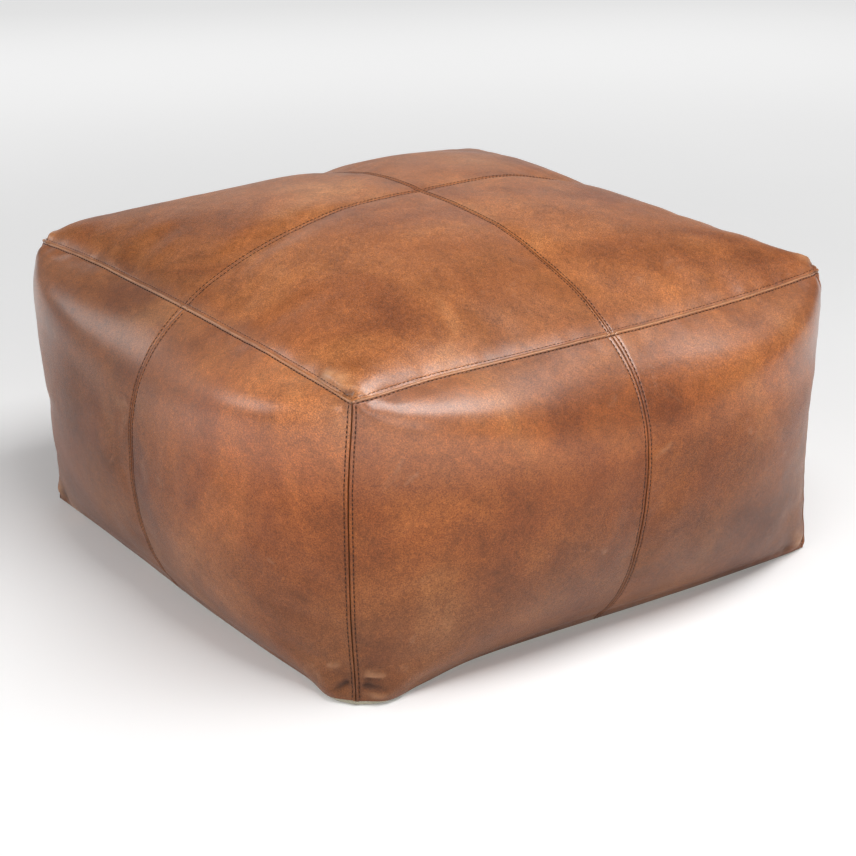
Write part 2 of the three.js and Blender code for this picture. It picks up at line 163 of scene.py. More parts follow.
def side_shape(side, u, v):
    """A side as if it were the front one."""
    rise = (v + 1) / 2
    half = HALF_BASE + (HALF_TOP - HALF_BASE) * rise
    upper = UPPER_POWER + (UPPER_POWER_CORNER - UPPER_POWER) * u * u
    lower = LOWER_POWER + (LOWER_POWER_CORNER - LOWER_POWER) * u * u
    along = SIDE_POWER_BASE + (SIDE_POWER_TOP - SIDE_POWER_BASE) * rise
    swell = SWELL[side] * near_power(v, np.where(v > 0, upper, lower)) * near_power(u, along)
    bow = SEAM_BOW[side] * near_power(u, 2) * rise
    tuck = base_tuck(side, u) * (1 - rise) ** 3
    out = half + swell + bow - tuck + puff(PUFF_SIDE, u, v, SEAM_HEIGHT / 2, False)
    z = SEAM_HEIGHT * rise + BASE_LIFT * near_power(u, 2) * (1 - rise) ** 4
    return np.stack([u * half, -out, z], -1)


def base_arch(x, y):
    across = 1 - smoothstep((np.abs(y) - ARCH_FLAT_HALF) / (ARCH_FOOT_HALF - ARCH_FLAT_HALF))
    along = 1 - smoothstep((np.abs(x) - ARCH_END) / (ARCH_CLOSED - ARCH_END))
    return ARCH_HEIGHT * across * along


def base_shape(u, v):
    tuck_x = np.where(u < 0, base_tuck("left", -v), base_tuck("right", v)) * np.abs(u)
    tuck_y = np.where(v < 0, base_tuck("front", u), base_tuck("back", -u)) * np.abs(v)
    x = u * (HALF_BASE - tuck_x)
    y = v * (HALF_BASE - tuck_y)
    lift_x = near_power(v, 2) * np.abs(u) ** BASE_LIFT_POWER
    lift_y = near_power(u, 2) * np.abs(v) ** BASE_LIFT_POWER
    z = base_arch(x, y) + BASE_LIFT * np.maximum(lift_x, lift_y)
    return np.stack([x, y, z], -1)


def turned(points, side):
    """Points of the front side, turned about Z to another side."""
    x, y, z = points[..., 0], points[..., 1], points[..., 2]
    places = {"front": (x, y), "right": (-y, x), "back": (-x, -y), "left": (y, -x)}
    return np.stack([*places[side], z], -1)


def shape(face, u, v):
    if face == "top":
        return top_shape(u, v)
    if face == "base":
        return base_shape(u, v)
    return turned(side_shape(face, u, v), face)


STEP = 1e-3


def slopes(face, u, v):
    along_u = (shape(face, u + STEP, v) - shape(face, u - STEP, v)) / (2 * STEP)
    along_v = (shape(face, u, v + STEP) - shape(face, u, v - STEP)) / (2 * STEP)
    return along_u, along_v


def normal(face, u, v):
    along_u, along_v = slopes(face, u, v)
    across = np.cross(along_u, along_v)
    return unit(-across if face == "base" else across)


# ---- Edges and seams ----

def neighbour(face, axis, sign, t):
    """(face, u, v) of an edge point on the face that it is shared with. The edge is where axis is sign."""
    if face in ("top", "base"):
        side = {("v", -1): "front", ("u", 1): "right", ("v", 1): "back", ("u", -1): "left"}[axis, sign]
        backwards = side in ("back", "left")
        return side, -t if backwards else t, np.full_like(t, 1 if face == "top" else -1)
    if axis == "u":
        return SIDES[(SIDES.index(face) + sign) % 4], np.full_like(t, -sign), t
    level = np.ones_like(t)
    caps = {"front": (t, -level), "right": (level, t), "back": (-t, level), "left": (-level, -t)}
    cap_u, cap_v = caps[face]
    return ("top" if sign > 0 else "base"), cap_u, cap_v


def profile_of(face, axis, sign):
    if sign == 0:
        return TOP_MIDDLE_PROFILE if face == "top" else MIDDLE_PROFILE
    if face == "base" or (axis, sign) == ("v", -1) and face in SIDES:
        return BASE_PROFILE
    if face == "top":
        return UPPER_RIDGE_PROFILE
    return LOWER_RIDGE_PROFILE if axis == "v" else CORNER_PROFILE


def row_offset(face, axis, sign, t):
    """The distance from a seam to the rows beside it, at each place t along the seam."""
    t = np.asarray(t, float)
    if sign == 0 and face == "top":
        return np.full_like(t, MIDDLE_TOP_OFFSET)
    if sign == 0:
        to_top = np.maximum(1 - t, 0) * SEAM_HEIGHT / 2
        return ROW_OFFSET + ROW_FLARE * np.exp(-to_top / ROW_FLARE_REACH)
    if face in SIDES:
        return np.full_like(t, CORNER_OFFSET if axis == "u" else RIDGE_OFFSET)
    return np.full_like(t, ROW_OFFSET)


def seams_of(face):
    """(axis, sign) of each seam on a face: its four edges, and the seams across its middle."""
    edges = [("u", -1), ("u", 1), ("v", -1), ("v", 1)]
    middle = {"top": [("u", 0), ("v", 0)], "base": []}.get(face, [("u", 0)])
    return edges + middle


def seam_distance(face, axis, sign, u, v):
    """The distance from each point to a seam, along the leather."""
    if axis == "u":
        speed = np.linalg.norm(slopes(face, np.full_like(v, sign), v)[0], axis=-1)
        return np.abs(u - sign) * speed
    speed = np.linalg.norm(slopes(face, u, np.full_like(u, sign))[1], axis=-1)
    return np.abs(v - sign) * speed


def seam_length_at(face, axis, u, v):
    """The place along a seam, in metres from its middle."""
    t = v if axis == "u" else u
    upright = axis == "u" and face in SIDES
    return t * (SEAM_HEIGHT / 2 if upright else HALF_TOP)


# ---- Noise ----

NOISE_SIZE = 32
NOISE_GRADIENTS = unit(np.random.default_rng(7).normal(size=(NOISE_SIZE ** 3, 3)))


def noise(points):
    """Smooth noise from about -1 to 1, with one hill or hollow to a unit."""
    cell = np.floor(points).astype(int)
    part = points - cell
    fade = part ** 3 * (part * (part * 6 - 15) + 10)
    total = np.zeros(points.shape[:-1])
    for corner in np.ndindex(2, 2, 2):
        corner = np.array(corner)
        at = (cell + corner) % NOISE_SIZE
        gradient = NOISE_GRADIENTS[(at[..., 0] * NOISE_SIZE + at[..., 1]) * NOISE_SIZE + at[..., 2]]
        weight = np.prod(np.where(corner == 1, fade, 1 - fade), -1)
        total = total + weight * np.sum(gradient * (part - corner), -1)
    return total * 1.6


def noise_at(x, y, seed):
    return noise(np.stack([x, y, np.full_like(x, seed * 1.37 + 0.71)], -1))


# ---- Unevenness of the leather ----

SWELLS = ((230.0 * MM, 2.2 * MM, 11), (90.0 * MM, 0.9 * MM, 12), (38.0 * MM, 0.22 * MM, 13))
PUCKER_PITCH = 15.0 * MM         # between the small folds that a seam gathers
PUCKER_PEAK = 8.0 * MM           # they are highest this far from the seam
PUCKER_HEIGHT = 0.6 * MM
CORNER_PUCKER_HEIGHT = 2.4 * MM
CORNER_PUCKER_REACH = 45.0 * MM
SCALLOP_PITCH = 23.0 * MM        # the larger gathers in the top edge on the right
SCALLOP_HEIGHT = 5.5 * MM
SCALLOP_REACH = 26.0 * MM
SCALLOP_FROM = 40.0 * MM         # they are in the front half of that edge, up to its corner
SCALLOP_FULL = 230.0 * MM
LOOSE_FROM = 10.0 * MM           # the folds grow from the base seam up to this height

# Corners of the square in mm, for the places of the folds and local moves.
HB = HALF_BASE / MM
HT = HALF_TOP / MM
TOP_Z = SEAM_HEIGHT / MM

# Folds: the start and end, the width and height in mm. They run as low ridges or, below 0, grooves.
FOLDS = (
    # The front bottom corner: a crease, a deep fold under it, a flap, and a notch beside the flap.
    ((-HB + 8, -HB - 4, 36), (-HB + 30, -HB - 14, 31), 3.5, 3.4),
    ((-HB + 8, -HB - 4, 29), (-HB + 26, -HB - 12, 26), 3, -2.6),
    ((-HB + 6, -HB - 4, 20), (-HB + 38, -HB - 14, 13), 4, -8.0),
    ((-HB + 12, -HB - 6, 8), (-HB + 46, -HB - 12, 5), 5, 7.0),
    ((-HB + 50, -HB - 16, 18), (-HB + 62, -HB - 16, 6), 4, -5.0),
    ((-HB - 4, -HB + 6, 26), (-HB - 10, -HB + 24, 9), 3.5, -4.2),
    ((-HB - 8, -HB + 14, 46), (-HB - 14, -HB + 28, 41), 3.5, 2.4),
    # The left and right bottom corners.
    ((-HB - 6, HB - 46, 48), (-HB + 2, HB - 6, 12), 9, 4.5),
    ((-HB - 12, HB - 74, 52), (-HB - 4, HB - 26, 10), 9, -4.0),
    ((-HB - 14, HB - 104, 46), (-HB - 6, HB - 60, 10), 10, 3.6),
    ((-HB - 20, HB - 136, 50), (-HB - 10, HB - 92, 10), 9, -2.6),
    ((HB - 46, -HB - 10, 44), (HB - 8, -HB, 10), 9, 3.6),
    ((HB - 70, -HB - 16, 44), (HB - 30, -HB - 8, 8), 9, -3.0),
    # The front top corner: a soft ridge and a crescent on the top, and slanting lines on the left side.
    ((-HT + 6, -HT + 64, TOP_Z + 7), (-HT + 18, -HT + 26, TOP_Z + 9), 8, 4.2),
    ((-HT + 5, -HT + 34, TOP_Z + 5), (-HT + 15, -HT + 12, TOP_Z + 6), 4, 2.8),
    ((-HT + 2, -HT + 24, TOP_Z + 3), (-HT + 9, -HT + 8, TOP_Z + 4), 4, -3.0),
    ((-HT - 6, -HT + 14, TOP_Z - 8), (-HT - 14, -HT + 62, TOP_Z - 38), 4, 2.2),
    ((-HT - 4, -HT + 10, TOP_Z - 18), (-HT - 16, -HT + 56, TOP_Z - 52), 4.5, 2.0),
    ((-HT - 3, -HT + 26, TOP_Z - 4), (-HT - 12, -HT + 74, TOP_Z - 24), 4, 1.8),
    # A thin crease beside the middle seam of the front.
    ((5, -HT - 88, 238), (36, -HT - 88, 252), 2.5, 1.6),
    # A knot at the left top corner, and a knob at the right one.
    ((-HT + 22, HT - 8, TOP_Z + 5), (-HT + 6, HT - 26, TOP_Z + 4), 6, 4.0),
    ((-HT - 2, HT - 14, TOP_Z - 12), (-HT - 4, HT - 30, TOP_Z - 26), 6, -3.0),
    ((HT - 10, -HT + 42, TOP_Z + 8), (HT - 13, -HT + 14, TOP_Z + 5), 12, 6.5),
    ((HT - 6, -HT + 62, TOP_Z + 7), (HT - 18, -HT + 58, TOP_Z + 9), 6, -4.0),
)


def fold_rise(points):
    """The height of the listed folds."""
    total = np.zeros(points.shape[:-1])
    for start, end, width, height in FOLDS:
        start, end = np.array(start) * MM, np.array(end) * MM
        run = end - start
        share = np.clip((points - start) @ run / (run @ run), 0, 1)
        apart = np.linalg.norm(points - start - share[..., None] * run, axis=-1) / (width * MM)
        taper = smoothstep(share * 3 + 0.25) * smoothstep((1 - share) * 3 + 0.25)
        total = total + height * MM * taper * np.exp(-apart ** 2)
    return total


def pucker_rise(face, axis, sign, along, distance):
    """The small folds that run away from a seam."""
    seed = 20 + 7 * ALL_FACES.index(face) + {"u": 0, "v": 3}[axis] + sign
    window = distance / PUCKER_PEAK * np.exp(1 - distance / PUCKER_PEAK)
    half = SEAM_HEIGHT / 2 if axis == "u" and face in SIDES else HALF_TOP
    to_corner = np.maximum(half - np.abs(along), 0)
    if sign == 0:
        height = np.full_like(along, PUCKER_HEIGHT * 0.7)
    else:
        height = PUCKER_HEIGHT + CORNER_PUCKER_HEIGHT * np.exp(-to_corner / CORNER_PUCKER_REACH)
    wander = 1 + 0.6 * noise_at(along / (70 * MM), distance / (70 * MM), seed + 2)
    rise = height * wander * noise_at(along / PUCKER_PITCH, distance / (55 * MM), seed)
    if (face, axis, sign) in (("top", "u", 1), ("right", "v", 1)):
        forward = -along
        share = smoothstep((forward - SCALLOP_FROM) / (SCALLOP_FULL - SCALLOP_FROM))
        scallops = noise_at(along / SCALLOP_PITCH, distance / (60 * MM), 5)
        return rise * window + SCALLOP_HEIGHT * share * scallops * np.exp(-distance / SCALLOP_REACH)
    return rise * window


# Where the cover stands away from the square: the place and the move, in mm, and the reach.
LOCAL_MOVES = (
    ((-HT, -HT, TOP_Z), (3.5, -5.0, -5.0), 75),
    ((-HT, HT, TOP_Z), (-3.0, 0.5, -3.0), 75),
    ((HT, -HT, TOP_Z), (1.5, 0.0, 4.0), 75),
    ((HT, HT, TOP_Z), (-3.0, -3.0, -3.0), 75),
    ((-HT, HT, TOP_Z), (5.0, -5.0, -2.0), 15),
    ((HT, -HT, TOP_Z), (-5.0, 5.0, -2.0), 15),
    ((HT, HT, TOP_Z), (-5.0, -5.0, -2.0), 15),
    ((-HB, -HB, 0), (3.0, -1.0, 0.0), 75),
    ((-HB, -HB, 0), (4.5, 5.0, 0.0), 24),
    ((-HB, -HB + 32, 0), (-13.0, -6.0, 0.0), 30),
    ((-HB + 34, -HB, 0), (-4.0, -14.0, 0.0), 30),
    ((-HB, HB, 0), (-1.0, 2.5, 0.0), 75),
    ((HB, -HB, 0), (2.0, -5.0, 0.0), 75),
    ((HB, HB, 0), (3.0, 3.0, 0.0), 75),
    ((-HB + 74, -HB, 0), (2.0, -12.0, 0.0), 62),
)
PEEK_LIFT = 5.0 * MM             # the seam at the front corner is off the floor, and canvas shows below
PEEK_REACH = 50.0 * MM
PEEK_CANVAS = 5.0 * MM           # the canvas is back on the floor this far in from the seam


def local_moves(points, lifted=1.0):
    """How the corners spread, and how the front one rises off the floor where it is lifted."""
    moves = np.zeros_like(points)
    for place, move, reach in LOCAL_MOVES:
        apart = np.linalg.norm(points - np.array(place) * MM, axis=-1) / (reach * MM)
        moves = moves + np.exp(-apart ** 2)[..., None] * np.array(move) * MM
    front_corner = np.array([-HALF_BASE, -HALF_BASE, 0.0])
    from_front = np.linalg.norm(points - front_corner, axis=-1) / PEEK_REACH
    moves[..., 2] += PEEK_LIFT * np.exp(-from_front ** 2) * lifted
    return moves


# ---- Wrinkles, looked up from grids over the faces ----

wrinkles = {}                    # face: a square grid of heights, filled by the cloth simulation


def cubic_weights(part):
    """The four weights of a smooth curve through evenly spaced values."""
    return (
        0.5 * (-part ** 3 + 2 * part ** 2 - part),
        0.5 * (3 * part ** 3 - 5 * part ** 2 + 2),
        0.5 * (-3 * part ** 3 + 4 * part ** 2 + part),
        0.5 * (part ** 3 - part ** 2),
    )


def wrinkle_rise(face, u, v):
    if face not in wrinkles:
        return np.zeros_like(u)
    grid = wrinkles[face]
    cells = len(grid) - 1
    padded = np.pad(grid, 2, mode="edge")
    across, up = (np.clip((t + 1) / 2 * cells, 0, cells - 1e-6) for t in (u, v))
    column, row = np.floor(across).astype(int), np.floor(up).astype(int)
    total = np.zeros_like(u)
    for j, row_weight in enumerate(cubic_weights(up - row)):
        for i, column_weight in enumerate(cubic_weights(across - column)):
            total = total + row_weight * column_weight * padded[row + j + 1, column + i + 1]
    return total


# ---- The finished leather surface ----

def outward(face, u, v, distances):
    """The direction that seams and folds move the leather in. It turns over an edge smoothly."""
    total = normal(face, u, v)
    for (axis, sign), distance in distances.items():
        if sign == 0:
            continue
        other = neighbour(face, axis, sign, v if axis == "u" else u)
        share = 1 - smoothstep(distance / SEAM_TURN)
        total = total + share[..., None] * normal(*other)
    return unit(total)


def seam_rise(face, u, v, distances):
    """The height of the seams' own shape. Where two seams cross, the deeper one counts."""
    lowest = np.zeros_like(u)
    highest = np.zeros_like(u)
    for (axis, sign), distance in distances.items():
        offset = row_offset(face, axis, sign, v if axis == "u" else u)
        rise = np.interp(distance / offset, PROFILE_AT, profile_of(face, axis, sign)) * MM
        lowest = np.minimum(lowest, rise)
        highest = np.maximum(highest, rise)
    return lowest + highest * (lowest > -0.05 * MM)


def cover_points(face, u, v):
    """(points, outward directions, distances to the seams) of the finished leather."""
    u, v = (np.array(a, float) for a in np.broadcast_arrays(u, v))
    distances = {seam: seam_distance(face, *seam, u, v) for seam in seams_of(face)}
    smooth = shape(face, u, v)
    out = outward(face, u, v, distances)
    rise = seam_rise(face, u, v, distances)
    if face != "base":
        loose = fold_rise(smooth) + wrinkle_rise(face, u, v)
        for size, height, seed in SWELLS:
            loose = loose + height * noise(smooth / size + seed)
        for (axis, sign), distance in distances.items():
            along = seam_length_at(face, axis, u, v)
            loose = loose + pucker_rise(face, axis, sign, along, distance)
        rise = rise + loose * smoothstep(smooth[..., 2] / LOOSE_FROM)
        moves = local_moves(smooth)
    else:
        rise = np.minimum(rise, 0)
        to_edge = np.min(list(distances.values()), axis=0)
        moves = local_moves(smooth, 1 - smoothstep(to_edge / PEEK_CANVAS))
    return smooth + moves + out * rise[..., None], out, distances


# ---- Meshes ----

def new_mesh(name, points, faces):
    mesh = bpy.data.meshes.new(name)
    mesh.from_pydata([tuple(p) for p in points], [], [tuple(f) for f in faces])
    return mesh


def linked(name, data):
    """A new object in the scene."""
    made = bpy.data.objects.new(name, data)
    bpy.context.scene.collection.objects.link(made)
    return made


def add_piece(name, points, faces, node, material):
    """A piece of the cover's body that stands for a CAD node."""
    mesh = new_mesh(name, points, faces)
    mesh.polygons.foreach_set("use_smooth", [True] * len(mesh.polygons))
    mesh.update()
    mesh.materials.append(material)
    piece = linked(name, mesh)
    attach(piece, "cover")
    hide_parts(node)
    return piece


def add_attribute(piece, name, values):
    piece.data.attributes.new(name, "FLOAT", "POINT").data.foreach_set("value", values.astype(np.float32))


def grid_faces(rows, columns):
    index = np.arange(rows * columns).reshape(rows, columns)
    quads = np.stack([index[:-1, :-1], index[:-1, 1:], index[1:, 1:], index[1:, :-1]], -1)
    return quads.reshape(-1, 4)


def open_edges(faces):
    """The directed edges that only one face has."""
    edges = np.concatenate([np.stack([faces[:, k], faces[:, (k + 1) % 4]], -1) for k in range(4)])
    ordered = np.sort(edges, axis=1)
    _, first, count = np.unique(ordered, axis=0, return_index=True, return_counts=True)
    return edges[first[count == 1]]


def shell(outer, inner, faces):
    """(points, faces) of a closed sheet between two skins that share their faces."""
    count = len(outer)
    edges = open_edges(faces)
    walls = np.stack([edges[:, 1], edges[:, 0], edges[:, 0] + count, edges[:, 1] + count], -1)
    return np.concatenate([outer, inner]), np.concatenate([faces, faces[:, ::-1] + count, walls])


# ---- Layers that follow the cover ----

LINING_CELLS = 40
LINING_LINES = np.sin(np.linspace(-1, 1, LINING_CELLS + 1) * math.pi / 2)
LINING_TURN = 30.0 * MM          # layers inside the cover turn over its edges this widely
BAG_DEPTH = 8.2 * MM
BAG_CLOTH = 1.0 * MM
FILLING_DEPTH = 11.5 * MM
MOUTH_U = 0.42
MOUTH_V = 0.08


def lining_direction(face, u, v):
    """Like outward(), but it turns over the edges more widely."""
    total = normal(face, u, v)
    for axis, sign in seams_of(face):
        if sign != 0:
            share = 1 - smoothstep(seam_distance(face, axis, sign, u, v) / LINING_TURN)
            total = total + share[..., None] * normal(*neighbour(face, axis, sign, v if axis == "u" else u))
    return unit(total)


def smooth_skin(t, depth, mouth=False):
    """(points, outward directions, faces) of a closed skin below the leather. A mouth leaves a hole."""
    points, outs, faces = [], [], []
    for face in ALL_FACES:
        u, v = np.meshgrid(t, t)
        out = lining_direction(face, u, v)
        quads = grid_faces(*u.shape)
        if face == "base":
            quads = quads[:, ::-1]
            if mouth:
                middle_u = u.ravel()[quads].mean(1)
                middle_v = v.ravel()[quads].mean(1)
                quads = quads[(np.abs(middle_u) > MOUTH_U) | (np.abs(middle_v) > MOUTH_V)]
        faces.append(quads + sum(len(p) for p in points))
        skin = shape(face, u, v)
        points.append((skin + local_moves(skin) - out * depth).reshape(-1, 3))
        outs.append(out.reshape(-1, 3))
    return np.concatenate(points), np.concatenate(outs), np.concatenate(faces)


def welded(points):
    """(the first of each set of points that coincide, the new number of each point)."""
    keys = np.round(points / (0.05 * MM)).astype(int)
    _, first, index = np.unique(keys, axis=0, return_index=True, return_inverse=True)
    return first, index.reshape(-1)


def welded_skin(points, outs, faces):
    first, index = welded(points)
    return points[first], outs[first], index[faces]


# ---- Cloth simulation ----

SIM_CELLS = 56
SIM_FRAMES = 20
SIM_DEPTH = 2.0 * MM             # it starts slightly smaller than the cover
SIM_PRESSURE = 4.0
SIM_SEAM_SHRINK = 0.05           # the seams draw in by this share, and gather the leather
SIM_SEAM_REACH = 12.0 * MM
SIM_HELD_HEIGHT = 12.0 * MM      # the points below this stay where they are
SIM_CAP = 12.0 * MM              # no point moves further than this
WIDE_SMOOTHING = 160             # rounds of smoothing that find the swell to leave out
FINE_SMOOTHING = 1
WRINKLE_SCALE = 0.45
WRINKLE_CAP = 3.0 * MM


def smoothed(values, pairs, rounds):
    """Values spread along the mesh's edges for a number of rounds."""
    degree = np.bincount(pairs.ravel(), minlength=len(values)).astype(float)
    for _ in range(rounds):
        total = np.bincount(pairs[:, 0], values[pairs[:, 1]], len(values))
        total += np.bincount(pairs[:, 1], values[pairs[:, 0]], len(values))
        values = 0.4 * values + 0.6 * total / degree
    return values


def inflated(points, faces, seam_weight, pinned):
    """The points after the skin has been blown up as cloth."""
    cloth = linked("cloth", new_mesh("cloth", points, faces))
    held = cloth.vertex_groups.new(name="held")
    held.add([int(i) for i in np.nonzero(pinned)[0]], 1.0, "REPLACE")
    seams = cloth.vertex_groups.new(name="seams")
    for i in np.nonzero(seam_weight > 0.05)[0]:
        seams.add([int(i)], float(seam_weight[i]), "REPLACE")
    settings = cloth.modifiers.new("cloth", "CLOTH").settings
    settings.quality = 5
    settings.mass = 0.4
    settings.tension_stiffness = 40
    settings.compression_stiffness = 25
    settings.shear_stiffness = 12
    settings.bending_stiffness = 1.5
    settings.air_damping = 4
    settings.vertex_group_mass = "held"
    settings.vertex_group_shrink = "seams"
    settings.shrink_max = SIM_SEAM_SHRINK
    settings.use_pressure = True
    settings.uniform_pressure_force = SIM_PRESSURE
    settings.effector_weights.gravity = 0
    for number in range(1, SIM_FRAMES + 1):
        bpy.context.scene.frame_set(number)
    evaluated = cloth.evaluated_get(bpy.context.evaluated_depsgraph_get())
    moved = np.zeros(len(points) * 3)
    evaluated.data.vertices.foreach_get("co", moved)
    bpy.data.objects.remove(cloth)
    bpy.context.scene.frame_set(1)
    return moved.reshape(-1, 3)


def simulate_wrinkles():
    """Fills the wrinkle grids: the cover is blown up as cloth, and its small unevenness is kept."""
    t = np.linspace(-1, 1, SIM_CELLS + 1)
    points, outs, faces = smooth_skin(t, SIM_DEPTH)
    u, v = np.meshgrid(t, t)
    weights = []
    for face in ALL_FACES:
        nearest = np.min([seam_distance(face, *seam, u, v) for seam in seams_of(face)], axis=0)
        weights.append(np.exp(-(nearest / SIM_SEAM_REACH) ** 2).ravel())
    first, index = welded(points)
    start = points[first]
    pinned = start[:, 2] < SIM_HELD_HEIGHT
    moved = inflated(start, index[faces], np.concatenate(weights)[first], pinned)
    rise = np.clip(np.sum((moved - start) * outs[first], -1), -SIM_CAP, SIM_CAP)
    quads = index[faces]
    edges = np.concatenate([quads[:, [k, (k + 1) % 4]] for k in range(4)])
    pairs = np.unique(np.sort(edges, axis=1), axis=0)
    fine = smoothed(rise, pairs, FINE_SMOOTHING) - smoothed(rise, pairs, WIDE_SMOOTHING)
    fine = np.clip(fine * WRINKLE_SCALE, -WRINKLE_CAP, WRINKLE_CAP)
    size = (SIM_CELLS + 1) ** 2
    for number, face in enumerate(ALL_FACES):
        wrinkles[face] = fine[index[number * size:(number + 1) * size]].reshape(u.shape)


# ---- Leather panels ----

# Grid lines at these distances from a seam, in mm, and then evenly across the middle.
EDGE_LINES = (
    0.25, 0.5, 0.9, 1.3, 1.8, 2.3, 2.8, 3.3, 3.7, 4.1, 4.5, 4.9, 5.5, 6.2, 7.2, 8.6,
    10.2, 12.0, 14.0, 16.2, 18.8, 21.8, 25.2, 29.0,
)
INNER_STEP = 5.0 * MM


def lines_between(start, end, start_speed, end_speed, count):
    """Grid lines from one seam to the next, as values of u or v, one row for each pair of speeds."""
    from_start = start + np.array(EDGE_LINES) * MM / start_speed[:, None]
    from_end = end - np.array(EDGE_LINES)[::-1] * MM / end_speed[:, None]
    share = np.linspace(0, 1, count + 2)[1:-1]
    middle = from_start[:, -1:] * (1 - share) + from_end[:, :1] * share
    return np.concatenate([from_start, middle, from_end], 1)


def inner_count(start, end, size):
    return int((end - start) * size / INNER_STEP) - 2 * len(EDGE_LINES) // 2


def speed_at(face, axis, sign, t):
    here = np.full_like(t, sign)
    along_u, along_v = slopes(face, here, t) if axis == "u" else slopes(face, t, here)
    return np.linalg.norm(along_u if axis == "u" else along_v, axis=-1)


def panel_grid(face, u_ends, v_ends):
    """(u, v) of a panel's grid, whose lines keep their distances to the seams."""
    sizes = (HALF_TOP, HALF_TOP if face == "top" else SEAM_HEIGHT / 2 * 1.2)
    u_count = inner_count(*u_ends, sizes[0])
    v_count = inner_count(*v_ends, sizes[1])
    middle_v = np.array([np.mean(v_ends)])
    middle_u = np.array([np.mean(u_ends)])
    plain_v = lines_between(*v_ends, *[speed_at(face, "v", e, middle_u) for e in v_ends], v_count)[0]
    plain_u = lines_between(*u_ends, *[speed_at(face, "u", e, middle_v) for e in u_ends], u_count)[0]
    u = lines_between(*u_ends, *[speed_at(face, "u", e, plain_v) for e in u_ends], u_count)
    v = lines_between(*v_ends, *[speed_at(face, "v", e, plain_u) for e in v_ends], v_count).T
    return u, v


PANELS = {
    "top_panel_front_left": ("top", (-1, 0), (-1, 0)),
    "top_panel_front_right": ("top", (0, 1), (-1, 0)),
    "top_panel_back_left": ("top", (-1, 0), (0, 1)),
    "top_panel_back_right": ("top", (0, 1), (0, 1)),
    "front_panel_left": ("front", (-1, 0), (-1, 1)),
    "front_panel_right": ("front", (0, 1), (-1, 1)),
    "right_panel_front": ("right", (-1, 0), (-1, 1)),
    "right_panel_back": ("right", (0, 1), (-1, 1)),
    "back_panel_right": ("back", (-1, 0), (-1, 1)),
    "back_panel_left": ("back", (0, 1), (-1, 1)),
    "left_panel_back": ("left", (-1, 0), (-1, 1)),
    "left_panel_front": ("left", (0, 1), (-1, 1)),
}


# Painted shade and highlight on the folds: a groove this deep gets as much painted shade as a seam, and a
# crest this high the most painted highlight.
DARKEST_FOLD = 4.0               # a groove this deep, in mm, is as dark as a seam
LIGHTEST_FOLD = 4.0


def seam_marks(face, u, v, distances):
    """(groove, row, ridge) from 0 to 1: how close each point is to a seam or a fold's groove, a row, and a
    ridge or a fold's crest. They paint shade into the grooves and along the rows, and a highlight, with some
    wear, on the ridges.
    """
    groove = np.zeros_like(u)
    row = np.zeros_like(u)
    ridge = np.zeros_like(u)
    for (axis, sign), distance in distances.items():
        far = distance / MM
        top_edge = sign != 0 and (face == "top" or axis == "v" and sign > 0)
        base_edge = axis == "v" and sign == -1 and face in SIDES
        offset = row_offset(face, axis, sign, v if axis == "u" else u) / MM
        if not top_edge:
            groove = np.maximum(groove, (0.5 if face == "top" else 0.7) * np.exp(-(far / 0.7) ** 2))
        else:
            ridge = np.maximum(ridge, np.exp(-(far / (0.5 if face == "top" else 1.2)) ** 2))
        if not base_edge:
            strength = 0.45 if top_edge and face != "top" else 0.12 if top_edge else 0.35
            row = np.maximum(row, strength * np.exp(-((far - offset) / 0.8) ** 2))
    folds = fold_rise(shape(face, u, v)) / MM
    # Painted shade in the folds' grooves, and a painted highlight on their crests.
    groove = np.maximum(groove, np.clip(-folds / DARKEST_FOLD, 0, 1))
    ridge = np.maximum(ridge, 0.7 * np.clip(folds / LIGHTEST_FOLD, 0, 1))
    return groove, row, ridge


# Painted shade: the leather is painted darker near the floor. These heights in mm have these shares of its
# colour.
PAINTED_SHADE_HEIGHTS = (0, 90, 180, 270, 350, 450)
PAINTED_SHADE_SHARES = (0.66, 0.68, 0.80, 0.97, 1.04, 1.04)
# Patches of painted light and shade, lighter or darker: the place and reach in mm, and the share of its
# colour.
PAINTED_LIGHT_AND_SHADE_PATCHES = (
    ((-HT - 60, 110, 230), 150, 0.46),
    ((-HT - 60, -HT + 110, 310), 125, 1.45),
    ((-HT + 20, 190, 390), 130, 0.85),
    ((-HT + 30, -HT + 60, 385), 70, 0.80),
    ((-280, -250, 405), 90, 1.20),
    ((-130, -300, 390), 110, 0.84),
    ((-HB, -HB - 10, 14), 60, 0.72),
    ((-HT - 30, -200, 70), 150, 1.25),
    ((-HT - 40, 130, 70), 130, 1.30),
    ((40, -HT - 40, 80), 260, 0.86),
)


def lightness(points):
    """How light the leather is painted at each point, where 1 is its plain colour: painted shade near the
    floor, and patches of painted light and shade.
    """
    wander = 40 * noise(points / (130 * MM) + 3)
    share = np.interp(points[..., 2] / MM + wander, PAINTED_SHADE_HEIGHTS, PAINTED_SHADE_SHARES)
    for place, reach, light in PAINTED_LIGHT_AND_SHADE_PATCHES:
        apart = np.linalg.norm(points / MM - np.array(place), axis=-1) / reach
        share = share * light ** np.exp(-apart ** 2)
    return share


def leather_panel(node, face, u_ends, v_ends, material):
    u, v = panel_grid(face, u_ends, v_ends)
    outer, out, distances = cover_points(face, u, v)
    inner = outer - out * LEATHER
    points, faces = shell(outer.reshape(-1, 3), inner.reshape(-1, 3), grid_faces(*u.shape))
    piece = add_piece("cover_" + node, points, faces, node, material)
    for name, values in zip(("groove", "row", "ridge"), seam_marks(face, u, v, distances)):
        add_attribute(piece, name, np.tile(values.ravel(), 2))
    # This share is painted light and shade, multiplied into the leather's colour.
    add_attribute(piece, "lightness", np.tile(lightness(outer).ravel(), 2))


# ---- Stitches ----

